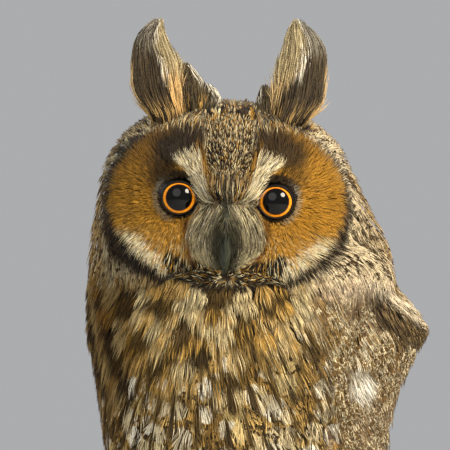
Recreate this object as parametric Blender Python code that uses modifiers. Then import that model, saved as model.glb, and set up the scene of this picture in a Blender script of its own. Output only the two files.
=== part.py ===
"""A long-eared owl, life size, perched upright on a cut length of branch that a display stand holds.

The owl faces -Y with its head turned to its own left. +X is the owl's left, +Z is up, and the origin is
the middle of the stand's underside. Sizes are in millimetres, and MM turns them into Blender's metres
where a mesh is made. Angles are in degrees.
"""

import math

import bmesh
import bpy
import numpy as np
from mathutils import Matrix, Vector

MM = 0.001
GAP = 0.3
SLIVER = 0.001

# Stand and perch
BASE_WIDTH = 180.0
BASE_DEPTH = 226.0
BASE_HEIGHT = 14.0
BASE_CORNER = 22.0
CORNER_POINTS = 5
BASE_BEVEL = 2.0
ROD_RADIUS = 4.0
ROD_SPREAD = 44.0
ROD_SINK = 9.0
ROD_SIDES = 20
PERCH_LENGTH = 156.0
PERCH_RADIUS = 16.0
PERCH_BUMP = 0.5
PERCH_SWELL = 1.2
PERCH_SLANT = 0.10
PERCH_STEPS = 10
PERCH_SIDES = 18
PERCH_Y = -4.0
PERCH_Z = 106.0

# Torso, neck and tail coverts: height, half width, front, back, all at the tips of the coat
COAT_SECTIONS = (
    (64.0, 3.0, 65.0, 69.5),
    (76.0, 7.5, 58.5, 68.5),
    (88.0, 13.0, 50.0, 68.0),
    (100.0, 20.0, 39.0, 68.0),
    (112.0, 26.5, 26.0, 68.5),
    (124.0, 32.5, 12.0, 69.0),
    (138.0, 38.0, -4.0, 69.0),
    (155.0, 42.5, -20.0, 68.0),
    (178.0, 46.0, -33.0, 65.5),
    (205.0, 49.0, -42.5, 61.5),
    (235.0, 51.5, -47.0, 57.5),
    (260.0, 54.5, -48.0, 53.5),
    (280.0, 57.0, -47.0, 51.0),
    (297.0, 59.5, -42.5, 48.5),
)
# The bed that the folded wings lie on is the coat, widened below so that it clears the tail
BED_SECTIONS = (
    (8.0, 25.0, 92.0, 104.0),
    (28.0, 26.5, 85.0, 99.0),
    (60.0, 28.5, 72.0, 91.0),
    (88.0, 30.0, 55.0, 83.0),
    (100.0, 31.0, 45.0, 80.0),
    (112.0, 33.0, 31.0, 77.0),
    (124.0, 36.5, 14.0, 74.5),
    (138.0, 40.5, -3.0, 72.0),
    (155.0, 43.5, -20.0, 69.5),
) + COAT_SECTIONS[8:]
WIDEST = 0.5
RECESS = 9.0
RECESS_EDGE = (4.5, 56.0, 20.0)
RECESS_FRONT = (37.0, 50.0)
RECESS_BACK = (168.0, 177.0)
RECESS_FOOT = (104.0, 150.0)
RECESS_TOP = (272.0, 297.0)
TORSO_TOP = 270.0
NECK_TOP = 297.0
TORSO_SIDES = 36
RUMP_POINT = (0.0, 46.0, 135.0)
RUMP_NORMAL = (0.0, 0.60, -0.80)

# Head, in its own frame: x to the owl's left, y backwards from between the eyes, z up
HEAD_YAW = 22.0
HEAD_ROLL = 2.4
EYE_LINE = 328.0
FACE_AHEAD = 36.0
HEAD_AXIS = (-3.0, -3.5)
HEAD_HALF_WIDTH = 48.0
CROWN = 37.5
JOWL = 56.0
HEAD_BACK = 38.0
HEAD_ROUNDNESS = (2.25, 2.7)
HEAD_SEGMENTS = 36
HEAD_RINGS = 24
FACE_RINGS_SHARE = 0.55
FACE_ANGLE = 64.0
NECK_BLEND = (302.0, 342.0)
FACE_KEPT = (16.0, 40.0)
DISC_HALF_WIDTH = 42.5
DISC_HALF_HEIGHT = 31.0
EYE_APART = 17.5
EYE_RADIUS = 9.5
EYE_DEPTH = 11.6
LID_DEPTH = 4.9
LID_RADIUS = 7.6
LID_THICKNESS = 1.3
LID_TURN = 8.0
BILL_SIDES = 12
BILL_STEPS = 9
# The upper half follows an arc, and its half width and half height shrink to those of the hook's tip
BILL_CENTRE = (0.0, 5.0, -19.0)
BILL_ARC = (20.0, 116.0)
BILL_REACH = (15.0, 14.5)
BILL_HALF = (3.9, 4.2)
BILL_TIP = (0.35, 0.4)
BILL_KEEL = 0.85
LOWER_BILL_STEPS = 5
LOWER_BILL_FROM = (0.0, 3.0, -19.5)
LOWER_BILL_TO = (0.0, -2.5, -24.7)
LOWER_BILL_UP = (0.0, -0.68, 0.73)
LOWER_BILL_HALF = (2.6, 1.2)
LOWER_BILL_TIP = (0.7, 0.6)
NOSTRIL_AT = (4.3, -6.2, -6.6)
NOSTRIL_RADIUS = 1.0

# How far the forms of the face stand forward of the plain head: the hollow round each eye is behind it
BOWL_DEPTH = 5.5
RIM_HEIGHT = 2.8
FOREHEAD_HEIGHT = 4.5
BROW_HEIGHT = 3.0
CHEEK_HEIGHT = 5.0

# Ear tufts, in the head's frame: feathers, length, lean and its spread, root and its spread, width
LEFT_TUFT = (7, 38.0, 6.0, 27.0, (21.5, 19.0, 27.0), 8.0, 9.5)
RIGHT_TUFT = (7, 38.0, 10.0, 30.0, (22.0, 19.0, 27.0), 8.0, 9.5)
INNER_LOBE = (3, 24.3, 4.0, 26.0, (11.2, 18.8, 26.1), 5.0, 7.0)
TUFT_STACK = 1.0
TUFT_CURL = 4.0
TUFT_STATIONS = ((0.0, 0.6), (0.4, 1.0), (0.78, 0.8), (1.0, 0.25))
TUFT_MOUND = (8.5, 5.5, 8.0)

# Wing feathers. A row's lines are given as (angle round the body from its front, height), first for its
# rearmost feather and then for its foremost. The coverts lie along the lines of the flight feathers.
SECONDARIES = 7
SECONDARY_ROOTS = ((149.0, 232.0), (70.0, 226.0))
SECONDARY_TIPS = ((170.0, 140.0), (134.0, 100.0))
SECONDARY_DROP = 8.0
PRIMARIES = 6
PRIMARY_ROOTS = ((88.0, 226.0), (60.0, 190.0))
PRIMARY_TIPS = ((169.0, 92.0), (136.0, 60.0))
PRIMARY_DROP = 16.0
SCAPULARS = 6
SCAPULAR_ROOTS = ((148.0, 281.0), (100.0, 281.0))
SCAPULAR_TIPS = ((169.0, 190.0), (130.0, 216.0))
SCAPULAR_DROP = 8.0
# Row name, its feathers' width, where they start and end along a flight feather, height off the bed
WING_ROWS = (
    ("primaries", 14.0, 0.0, 1.0, 3.4),
    ("secondaries", 19.0, 0.0, 1.0, 6.6),
    ("greater_coverts", 18.0, -0.12, 0.40, 8.8),
    ("median_coverts", 17.0, -0.32, 0.12, 11.0),
    ("scapulars", 19.0, 0.0, 1.0, 13.8),
)
LONG_STATIONS = ((0.0, 0.5), (0.22, 0.9), (0.46, 1.0), (0.7, 1.0), (0.9, 0.72), (1.0, 0.25))
SHORT_STATIONS = ((0.0, 0.5), (0.34, 0.92), (0.64, 1.0), (0.88, 0.74), (1.0, 0.28))
VANE_THICK = 0.5
SHINGLE_STEP = 1.05
WIDEST_PRIMARY = 1.3
WIDEST_VANE = 0.98
ROOT_LIFT = 3.0
MIDLINE_ANGLE = 167.0
TIP_MIDLINE_ANGLE = 177.0

# The arm and hand that carry the wing feathers
WING_TOP = (264.0, 293.0)
WING_FOOT = (174.0, 206.0)
WING_FRONT = 52.0
WING_REAR = 158.0
CORE_STEPS = 8
CORE_LIFT = 0.9
CORE_THICK = 10.0
CORE_THIN = 1.0
SHOULDER_AT = (114.0, 285.0)
SHOULDER_REACH = (30.0, 24.0)
SHOULDER_LEVEL = (250.0, 270.0)
# The left wing is held a little away from the body, and the right one is closed
LEFT_SHOULDER_OUT = 14.0
RIGHT_SHOULDER_OUT = 4.0

# Tail
TAIL_ROOT = (0.0, 52.0, 150.0)
TAIL_TIP = (0.0, 93.0, 27.0)
TAIL_PAIRS = 6
TAIL_VANE = 21.0
TAIL_PITCH = 2.6
TAIL_STEP = 0.87
TAIL_MIDLINE = 0.35
TAIL_SHAFT = 1.4
TAIL_GRADE = 1.8
TAIL_TUCK = 2.5
TAIL_STATIONS = ((0.12, 0.55), (0.4, 0.92), (0.7, 1.0), (0.94, 0.8), (1.0, 0.4))
TAIL_COVERT_TOP = 160.0

# Legs, feet and claws
LEG_APART = 19.0
LEG_SIDES = 16
ANKLE_Z = 134.0
ANKLE_SIDES = 14
TOE_RADIUS = 4.4
TOE_STEPS = 5
CLAW_RADIUS = 1.9
TOES = (
    # name, sideways at the root and at the tip, arc round the perch where the toe ends
    ("inner", -4.5, -9.0, 66.0),
    ("middle", 4.0, 6.5, 74.0),
    ("hind", -3.5, -6.0, -56.0),
    ("outer", 5.0, 11.5, -60.0),
)
CLAW_SWEEP = 33.0
CLAW_ARCH = 1.5
# Height, radius, distance from the middle, y
LEG_SECTIONS = (
    (168.0, 9.0, 12.0, 6.0),
    (161.0, 13.0, 14.5, 2.0),
    (151.0, 13.0, 17.0, -2.0),
    (142.0, 10.5, 18.5, -3.8),
    (ANKLE_Z + GAP, 7.2, LEG_APART, -4.3),
)
# Height and radius
ANKLE_SECTIONS = (
    (ANKLE_Z, 6.6),
    (130.0, 6.4),
    (126.0, 7.0),
    (PERCH_Z + PERCH_RADIUS + PERCH_BUMP + 0.7, 5.2),
)

parts = bpy.data.collections.new("long_eared_owl")


def clear_scene():
    for obj in list(bpy.data.objects):
        bpy.data.objects.remove(obj, do_unlink=True)
    bpy.context.scene.collection.children.link(parts)


def material(name, colour, roughness, metallic=0.0):
    made = bpy.data.materials.new(name)
    made.use_nodes = True
    shader = made.node_tree.nodes["Principled BSDF"]
    shader.inputs["Base Color"].default_value = (*colour, 1.0)
    shader.inputs["Roughness"].default_value = roughness
    shader.inputs["Metallic"].default_value = metallic
    made.diffuse_color = (*colour, 1.0)
    return made


def smoothstep(low, high, value):
    share = np.clip((value - low) / (high - low), 0.0, 1.0)
    return share * share * (3.0 - 2.0 * share)


def solid(name, points, faces, finish=None):
    """A closed mesh object from points in millimetres, with its faces pointing out."""
    mesh = bpy.data.meshes.new(name)
    mesh.from_pydata([tuple(float(c) * MM for c in p) for p in points], [], faces)
    shape = bmesh.new()
    shape.from_mesh(mesh)
    bmesh.ops.recalc_face_normals(shape, faces=shape.faces)
    shape.to_mesh(mesh)
    shape.free()
    obj = bpy.data.objects.new(name, mesh)
    parts.objects.link(obj)
    if finish:
        mesh.materials.append(finish)
    return obj


def adopt(name, finish=None):
    """Takes the primitive just added into the parts, with its place put into its mesh."""
    obj = bpy.context.active_object
    for group in obj.users_collection:
        group.objects.unlink(obj)
    parts.objects.link(obj)
    obj.name = obj.data.name = name
    obj.data.transform(Matrix.LocRotScale(obj.location, obj.rotation_euler, obj.scale))
    obj.matrix_world = Matrix.Identity(4)
    if finish:
        obj.data.materials.append(finish)
    return obj


def loft(name, rings, finish=None):
    """Closed rings of equal count joined side by side, with a flat cap on each end."""
    count = len(rings[0])
    points = [p for ring in rings for p in ring]
    faces = []
    for level in range(len(rings) - 1):
        low, high = level * count, (level + 1) * count
        for i in range(count):
            j = (i + 1) % count
            faces.append((low + i, low + j, high + j, high + i))
    faces.append(tuple(range(count)))
    faces.append(tuple(range(len(points) - count, len(points))))
    return solid(name, points, faces, finish)


def apply_modifier(obj, kind, **settings):
    step = obj.modifiers.new(kind.lower(), kind)
    for key, value in settings.items():
        setattr(step, key, value)
    graph = bpy.context.evaluated_depsgraph_get()
    made = bpy.data.meshes.new_from_object(obj.evaluated_get(graph))
    obj.modifiers.clear()
    old = obj.data
    obj.data = made
    bpy.data.meshes.remove(old)


def keep_largest(obj):
    """Leaves only the closed surface with the largest area, so that no scrap or sealed hollow stays."""
    shape = bmesh.new()
    shape.from_mesh(obj.data)
    bmesh.ops.dissolve_degenerate(shape, dist=SLIVER * MM, edges=shape.edges)
    left = set(shape.faces)
    groups = []
    while left:
        seed = left.pop()
        group, stack = [seed], [seed]
        while stack:
            for edge in stack.pop().edges:
                for face in edge.link_faces:
                    if face in left:
                        left.remove(face)
                        group.append(face)
                        stack.append(face)
        groups.append(group)
    groups.sort(key=lambda group: -sum(face.calc_area() for face in group))
    scraps = [face for group in groups[1:] for face in group]
    bmesh.ops.delete(shape, geom=scraps, context="FACES")
    shape.to_mesh(obj.data)
    shape.free()


def unite(obj, others):
    """One Boolean union of obj with a collection of closed meshes, which are then removed."""
    group = bpy.data.collections.new("joined_to_" + obj.name)
    bpy.context.scene.collection.children.link(group)
    for other in others:
        parts.objects.unlink(other)
        group.objects.link(other)
    bpy.context.view_layer.update()
    apply_modifier(
        obj, "BOOLEAN", operation="UNION", operand_type="COLLECTION", collection=group, solver="MANIFOLD"
    )
    for other in others:
        bpy.data.objects.remove(other, do_unlink=True)
    bpy.data.collections.remove(group)
    keep_largest(obj)


def cut(obj, cutter, keep_cutter=False):
    bpy.context.view_layer.update()
    apply_modifier(obj, "BOOLEAN", operation="DIFFERENCE", object=cutter, solver="MANIFOLD")
    if not keep_cutter:
        bpy.data.objects.remove(cutter, do_unlink=True)
    keep_largest(obj)


def trim(obj, point, normal):
    """Removes what lies on the side of a plane that its normal points to, and caps the cut."""
    shape = bmesh.new()
    shape.from_mesh(obj.data)
    geometry = list(shape.verts) + list(shape.edges) + list(shape.faces)
    found = bmesh.ops.bisect_plane(
        shape,
        geom=geometry,
        dist=1e-7,
        plane_co=Vector(point) * MM,
        plane_no=Vector(normal),
        clear_outer=True,
    )
    rim = [e for e in found["geom_cut"] if isinstance(e, bmesh.types.BMEdge)]
    bmesh.ops.holes_fill(shape, edges=rim)
    bmesh.ops.recalc_face_normals(shape, faces=shape.faces)
    shape.to_mesh(obj.data)
    shape.free()


def swollen(obj, amount):
    """A copy of obj with its surface moved outwards, for cutting a neighbour clear of it."""
    copy = obj.copy()
    copy.data = obj.data.copy()
    parts.objects.link(copy)
    shape = bmesh.new()
    shape.from_mesh(copy.data)
    shape.normal_update()
    for vert in shape.verts:
        vert.co += vert.normal * (amount * MM)
    shape.to_mesh(copy.data)
    shape.free()
    return copy


def clear_slivers(obj):
    """Splits the faces into triangles and turns the long edge of each that has next to no width."""
    shape = bmesh.new()
    shape.from_mesh(obj.data)
    bmesh.ops.triangulate(shape, faces=shape.faces)
    for _ in range(4):
        for face in list(shape.faces):
            if not face.is_valid:
                continue
            longest = max(face.edges, key=lambda edge: edge.calc_length())
            if 2.0 * face.calc_area() < longest.calc_length() * SLIVER * MM:
                bmesh.utils.edge_rotate(longest)
    shape.to_mesh(obj.data)
    shape.free()


def shade(obj, angle=40.0):
    clear_slivers(obj)
    for face in obj.data.polygons:
        face.use_smooth = True
    obj.data.set_sharp_from_angle(angle=math.radians(angle))


def tube(name, route, radii, resolution=2, finish=None):
    """A round tube of varying radius along a route, as a bevelled curve turned into a welded mesh."""
    curve = bpy.data.curves.new(name, "CURVE")
    curve.dimensions = "3D"
    curve.bevel_depth = 1.0 * MM
    curve.bevel_resolution = resolution
    curve.use_fill_caps = True
    spline = curve.splines.new("POLY")
    spline.points.add(len(route) - 1)
    for point, place, radius in zip(spline.points, route, radii):
        point.co = (*(c * MM for c in place), 1.0)
        point.radius = radius
    guide = bpy.data.objects.new(name, curve)
    parts.objects.link(guide)
    bpy.context.view_layer.update()
    graph = bpy.context.evaluated_depsgraph_get()
    mesh = bpy.data.meshes.new_from_object(guide.evaluated_get(graph))
    bpy.data.objects.remove(guide, do_unlink=True)
    shape = bmesh.new()
    shape.from_mesh(mesh)
    bmesh.ops.remove_doubles(shape, verts=shape.verts, dist=1e-6)
    bmesh.ops.recalc_face_normals(shape, faces=shape.faces)
    shape.to_mesh(mesh)
    shape.free()
    obj = bpy.data.objects.new(name, mesh)
    parts.objects.link(obj)
    mesh.materials.clear()
    if finish:
        mesh.materials.append(finish)
    return obj


def row_at(table, height):
    """The half width, front and back of a section at this height, on a smooth curve through the table."""
    heights = [row[0] for row in table]
    height = min(max(height, heights[0]), heights[-1])
    i = max(k for k in range(len(table) - 1) if heights[k] <= height)
    before, after = table[max(i - 1, 0)], table[min(i + 2, len(table) - 1)]
    here, there = table[i], table[i + 1]
    span = there[0] - here[0]
    s = (height - here[0]) / span
    found = []
    for k in (1, 2, 3):
        slope_here = (there[k] - before[k]) / (there[0] - before[0]) * span
        slope_there = (after[k] - here[k]) / (after[0] - here[0]) * span
        found.append(
            (2 * s**3 - 3 * s**2 + 1) * here[k]
            + (s**3 - 2 * s**2 + s) * slope_here
            + (3 * s**2 - 2 * s**3) * there[k]
            + (s**3 - s**2) * slope_there
        )
    return found


def recess_at(table, height, angle):
    """How far the body is drawn in under the folded wing, as a share of its radius.

    The wing's bed is drawn in all round, and the coat only where the wing covers it.
    """
    deeper, edge, reach = RECESS_EDGE
    depth = RECESS + deeper * math.exp(-(((abs(angle) - edge) / reach) ** 2))
    share = depth / 50.0 * smoothstep(*RECESS_FOOT, height) * (1.0 - smoothstep(*RECESS_TOP, height))
    if table is COAT_SECTIONS:
        share *= smoothstep(*RECESS_FRONT, abs(angle)) * (1.0 - smoothstep(*RECESS_BACK, abs(angle)))
    return share


def on_section(table, height, angle):
    """A point of a section: the angle runs from the front, at 0, round the owl's left side to the back."""
    half_width, front, back = row_at(table, height)
    middle = front + (back - front) * WIDEST
    turn = math.radians(angle)
    inner = 1.0 - recess_at(table, height, angle)
    depth = (back - middle) if math.cos(turn) < 0 else (middle - front)
    return np.array(
        [half_width * math.sin(turn) * inner, middle - depth * math.cos(turn) * inner, height]
    )


def bed_normal(height, angle):
    step_round = on_section(BED_SECTIONS, height, angle + 1.0) - on_section(BED_SECTIONS, height, angle - 1.0)
    step_up = on_section(BED_SECTIONS, height + 1.0, angle) - on_section(BED_SECTIONS, height - 1.0, angle)
    normal = np.cross(step_round, step_up)
    # The shoulders stand straight out
    normal[2] *= 1.0 - smoothstep(*SHOULDER_LEVEL, height)
    return normal / np.linalg.norm(normal)


def on_bed(height, angle, lift):
    """A point lifted off the wing's bed, square to it."""
    return on_section(BED_SECTIONS, height, angle) + bed_normal(height, angle) * lift


def vane_mesh(name, rows):
    """A closed vane from rows of (near edge, shaft, far edge, normal). Both faces are split alike."""
    points, faces = [], []
    for near, shaft, far, normal in rows:
        for place in (near, shaft, far):
            points.append(place + normal * VANE_THICK / 2)
        for place in (near, shaft, far):
            points.append(place - normal * VANE_THICK / 2)
    for i in range(len(rows) - 1):
        a, b = 6 * i, 6 * i + 6
        for k in (0, 1):
            faces += [(a + k, b + k, b + k + 1), (a + k, b + k + 1, a + k + 1)]
            faces += [(a + k + 3, b + k + 4, b + k + 3), (a + k + 3, a + k + 4, b + k + 4)]
        faces += [(a, a + 3, b + 3), (a, b + 3, b)]
        faces += [(a + 2, b + 2, b + 5), (a + 2, b + 5, a + 5)]
    last = 6 * (len(rows) - 1)
    faces += [(0, 1, 4), (0, 4, 3), (1, 2, 5), (1, 5, 4)]
    faces += [(last, last + 4, last + 1), (last, last + 3, last + 4)]
    faces += [(last + 1, last + 5, last + 2), (last + 1, last + 4, last + 5)]
    return solid(name, points, faces)


def between(pair, share):
    return tuple(a + (b - a) * share for a, b in zip(*pair))


def feather_line(row, place, share):
    """The (angle, height) at a share of the length of the feather at this place in its row.

    Whole places are the shafts of feathers, and the rest is the vane between them.
    """
    if row == "scapulars":
        roots, tips, count, drop = SCAPULAR_ROOTS, SCAPULAR_TIPS, SCAPULARS, SCAPULAR_DROP
    elif row == "primaries":
        roots, tips, count, drop = PRIMARY_ROOTS, PRIMARY_TIPS, PRIMARIES, PRIMARY_DROP
    else:
        roots, tips, count, drop = SECONDARY_ROOTS, SECONDARY_TIPS, SECONDARIES, SECONDARY_DROP
    across = place / (count - 1)
    root, tip = between(roots, across), between(tips, across)
    fall = drop * math.sin(math.pi * min(max(across, -0.2), 1.2) * 0.8)
    bow = 0.6 * share + 0.4 * share * abs(share)
    angle = root[0] + (tip[0] - root[0]) * bow
    height = root[1] + (tip[1] - fall - root[1]) * share
    # The back has a ridge between the wings, and below it the wings lie free and come closer
    limit = TIP_MIDLINE_ANGLE + (MIDLINE_ANGLE - TIP_MIDLINE_ANGLE) * smoothstep(120.0, 160.0, height)
    return min(angle, limit), height


def vane_point(row, place, share, lift, out):
    angle, height = feather_line(row, place, share)
    return on_bed(height, angle, lift + shoulder_lift(angle, height, out))


def wing_vane(row, index, width, start, end, lift, out):
    """A feather on the wing's bed. Each one's front edge lies a shingle's step over the one before it."""
    rows = []
    for station, breadth in LONG_STATIONS if row in ("primaries", "secondaries") else SHORT_STATIONS:
        share = start + (end - start) * station
        angle, height = feather_line(row, index, share)
        tipward = vane_point(row, index, share + 0.02, 0.0, out)
        along = tipward - vane_point(row, index, share - 0.02, 0.0, out)
        along = along / np.linalg.norm(along)
        pitch = vane_point(row, index + 0.5, share, 0.0, out) - vane_point(row, index - 0.5, share, 0.0, out)
        pitch = np.linalg.norm(pitch - along * np.dot(pitch, along))
        half = min(width / 2 / pitch, WIDEST_PRIMARY if row == "primaries" else WIDEST_VANE) * breadth
        here = ROOT_LIFT + (lift - ROOT_LIFT) * smoothstep(0.0, 0.3, station)
        rows.append(
            (
                vane_point(row, index + half, share, here + SHINGLE_STEP * half, out),
                vane_point(row, index, share, here, out),
                vane_point(row, index - half, share, here - SHINGLE_STEP * half, out),
                bed_normal(height, angle),
            )
        )
    return vane_mesh(f"{row}_{index}", rows)


def shoulder_lift(angle, height, out):
    """How far the bend of the wing stands out from the body, at most this far out."""
    round_body = (angle - SHOULDER_AT[0]) / SHOULDER_REACH[0]
    up_body = (height - SHOULDER_AT[1]) / SHOULDER_REACH[1]
    return out * math.exp(-(round_body**2) - up_body**2)


def wing_core(name, finish, out):
    """The arm and hand under the feathers: thick along the arm, and thinning out below and at its rim."""
    across = down = CORE_STEPS
    outer, inner = [], []
    for j in range(down + 1):
        share = j / down
        for i in range(across + 1):
            round_share = i / across
            angle = WING_FRONT + (WING_REAR - WING_FRONT) * round_share + 6.0 * share * (1.0 - round_share)
            top = WING_TOP[0] + (WING_TOP[1] - WING_TOP[0]) * math.sin(math.pi * min(0.85 * round_share, 0.5))
            foot = WING_FOOT[0] + (WING_FOOT[1] - WING_FOOT[0]) * round_share
            height = top + (foot - top) * share
            lens = math.sin(math.pi * round_share) ** 0.5 * min(share / 0.14, 1.0) ** 0.6
            lens *= 1.0 - smoothstep(0.2, 1.0, share)
            thick = CORE_THIN + CORE_THICK * lens + shoulder_lift(angle, height, out) * lens**0.5
            inner.append(on_bed(height, angle, CORE_LIFT))
            outer.append(on_bed(height, angle, CORE_LIFT + thick))
    width = across + 1
    count = len(outer)
    faces = []
    for j in range(down):
        for i in range(across):
            a = j * width + i
            quad = (a, a + 1, a + width + 1, a + width)
            faces.append(quad)
            faces.append(tuple(count + k for k in reversed(quad)))
    rim = list(range(width))
    rim += [j * width + across for j in range(1, down + 1)]
    rim += [down * width + i for i in range(across - 1, -1, -1)]
    rim += [j * width for j in range(down - 1, 0, -1)]
    for a, b in zip(rim, rim[1:] + rim[:1]):
        faces.append((a, a + count, b + count, b))
    return solid(name, outer + inner, faces, finish)


def wing_feathers(out):
    counts = {"primaries": PRIMARIES, "scapulars": SCAPULARS}
    vanes = []
    for row, width, start, end, lift in WING_ROWS:
        count = counts.get(row, SECONDARIES)
        for index in range(count):
            vanes.append(wing_vane(row, index, width, start, end, lift, out))
    return vanes


def mirror(obj):
    """Turns a left piece into a right one."""
    obj.data.transform(Matrix.Scale(-1.0, 4, Vector((1.0, 0.0, 0.0))))
    obj.data.flip_normals()


def coat_rings(low, high, levels, sides=TORSO_SIDES):
    """Rings of the coat, with the angle kept within half a turn so that both sides are drawn in alike."""
    rings = []
    for j in range(levels + 1):
        height = low + (high - low) * j / levels
        ring = []
        for i in range(sides):
            angle = 360.0 * i / sides
            ring.append(on_section(COAT_SECTIONS, height, angle if angle <= 180.0 else angle - 360.0))
        rings.append(ring)
    return rings


def face_relief(x, z):
    """How far the face stands forward of the plain head, in the head's frame."""
    side = abs(x)
    bowl = -BOWL_DEPTH * math.exp(-(((side - 20.0) / 13.0) ** 2) - (((z + 1.0) / 15.0) ** 2))
    edge = math.hypot(x / DISC_HALF_WIDTH, (z + 0.5) / DISC_HALF_HEIGHT)
    rim = RIM_HEIGHT * math.exp(-(((edge - 1.0) / 0.075) ** 2)) * smoothstep(6.0, 16.0, side + max(-z, 0.0))
    wedge = FOREHEAD_HEIGHT * math.exp(-((x / 7.0) ** 2)) * smoothstep(-22.0, 4.0, z)
    wedge *= 1.0 - smoothstep(14.0, 34.0, z)
    brow_share = min(max((side / 20.0 + z / 15.0) / 2.0, 0.0), 1.0)
    brow_gap = math.hypot(side - 20.0 * brow_share, z - (15.0 * brow_share - 2.0))
    brow = BROW_HEIGHT * math.exp(-((brow_gap / 4.2) ** 2))
    cheek = CHEEK_HEIGHT * math.exp(-((x / 11.0) ** 2) - (((z + 15.0) / 11.0) ** 2))
    return bowl + rim + wedge + brow + cheek


def head_frame():
    """The matrix that carries the head's frame, in millimetres, into the model's."""
    ahead = Vector((math.sin(math.radians(HEAD_YAW)), -math.cos(math.radians(HEAD_YAW)), 0.0))
    origin = Vector((HEAD_AXIS[0], HEAD_AXIS[1], EYE_LINE)) + ahead * FACE_AHEAD
    turn = Matrix.Rotation(math.radians(HEAD_YAW), 4, "Z") @ Matrix.Rotation(math.radians(HEAD_ROLL), 4, "Y")
    return Matrix.Translation(origin) @ turn


HEAD_FRAME = head_frame()


def in_model(point):
    return HEAD_FRAME @ Vector(point)


def to_model(obj):
    """Carries a mesh made in the head's frame, in metres, into the model's frame."""
    placed = HEAD_FRAME.copy()
    placed.translation = placed.translation * MM
    obj.data.transform(placed)
    return obj


def head_point(direction):
    """The plain head's surface along a direction from its middle: a rounded box, longer towards the jowl."""
    x, y, z = direction
    # Rounder over the crown than round the jowl
    power = HEAD_ROUNDNESS[0] if z > 0 else HEAD_ROUNDNESS[1]
    reach = (
        abs(x / HEAD_HALF_WIDTH) ** power
        + abs(y / (HEAD_BACK if y > 0 else FACE_AHEAD)) ** power
        + abs(z / (CROWN if z > 0 else JOWL)) ** power
    )
    radius = reach ** (-1.0 / power)
    return Vector((x * radius, FACE_AHEAD + y * radius, z * radius))


def head_body(finish):
    bpy.ops.mesh.primitive_uv_sphere_add(segments=HEAD_SEGMENTS, ring_count=HEAD_RINGS, radius=1.0)
    head = adopt("head", finish)
    face_share = FACE_RINGS_SHARE
    for vert in head.data.vertices:
        polar = math.acos(max(-1.0, min(1.0, vert.co.z)))
        share = polar / math.pi
        if share < face_share:
            polar = math.radians(FACE_ANGLE) * share / face_share
        else:
            beyond = (share - face_share) / (1.0 - face_share)
            polar = math.radians(FACE_ANGLE + (180.0 - FACE_ANGLE) * beyond)
        around = math.atan2(vert.co.y, vert.co.x)
        place = head_point(
            (math.sin(polar) * math.cos(around), -math.cos(polar), math.sin(polar) * math.sin(around))
        )
        ahead = 1.0 - smoothstep(12.0, 34.0, place.y)
        place.y -= face_relief(place.x, place.z) * ahead
        vert.co = place * MM
    shape = bmesh.new()
    shape.from_mesh(head.data)
    bmesh.ops.recalc_face_normals(shape, faces=shape.faces)
    shape.to_mesh(head.data)
    shape.free()
    return head


def blend_to_neck(head):
    """Widens the sides and back of the head's foot onto the neck's section. The face stays as it is."""
    back_to_head = HEAD_FRAME.inverted()
    for vert in head.data.vertices:
        place = vert.co / MM
        weight = 1.0 - smoothstep(*NECK_BLEND, place.z)
        weight *= smoothstep(*FACE_KEPT, (back_to_head @ place).y)
        if weight <= 0.0:
            continue
        half_width, front, back = row_at(COAT_SECTIONS, NECK_TOP)
        middle = front + (back - front) * WIDEST
        depth = (back - middle) if place.y > middle else (middle - front)
        angle = math.degrees(math.atan2(place.x / half_width, -(place.y - middle) / depth))
        target = Vector(on_section(COAT_SECTIONS, NECK_TOP, angle))
        target.z = place.z
        vert.co = place.lerp(target, float(weight)) * MM


def eye_ball(side, name, radius, finish):
    bpy.ops.mesh.primitive_uv_sphere_add(segments=16, ring_count=10, radius=radius * MM)
    ball = adopt(name, finish)
    ball.data.transform(Matrix.Rotation(math.radians(90.0), 4, "X"))
    ball.data.transform(Matrix.Translation(Vector((side * EYE_APART, EYE_DEPTH, 0.0)) * MM))
    return ball


def lid_ring(side):
    bpy.ops.mesh.primitive_torus_add(
        major_radius=LID_RADIUS * MM,
        minor_radius=LID_THICKNESS * MM,
        major_segments=18,
        minor_segments=6,
    )
    ring = adopt(f"lid_{side}")
    ring.data.transform(Matrix.Rotation(math.radians(90.0), 4, "X"))
    ring.data.transform(Matrix.Rotation(math.radians(side * LID_TURN), 4, "Z"))
    ring.data.transform(Matrix.Translation(Vector((side * EYE_APART, LID_DEPTH, 0.0)) * MM))
    return ring


def section_ring(middle, up, half_width, half_height, keel=1.0):
    """A section of the bill, in the model's frame. The keel narrows its upper side."""
    ring = []
    for i in range(BILL_SIDES):
        around = 2 * math.pi * i / BILL_SIDES
        narrow = keel if math.sin(around) > 0.2 else 1.0
        wide = Vector((half_width * narrow * math.cos(around), 0.0, 0.0))
        ring.append(in_model(middle + wide + up * half_height * math.sin(around)))
    return ring


def bill_rings(grow):
    """The upper half of the bill: an arc from the cere forwards and down to a hooked tip."""
    rings = []
    for k in range(BILL_STEPS + 1):
        share = k / BILL_STEPS
        turn = math.radians(BILL_ARC[0] + (BILL_ARC[1] - BILL_ARC[0]) * share**1.15)
        up = Vector((0.0, -math.sin(turn), math.cos(turn)))
        middle = Vector(BILL_CENTRE) + Vector((0.0, up.y * BILL_REACH[0], up.z * BILL_REACH[1]))
        taper = (1.0 - share**2.2) ** 0.8
        half_width = BILL_TIP[0] + BILL_HALF[0] * taper + grow
        half_height = BILL_TIP[1] + BILL_HALF[1] * taper + grow
        rings.append(section_ring(middle, up, half_width, half_height, BILL_KEEL))
    return rings


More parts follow.
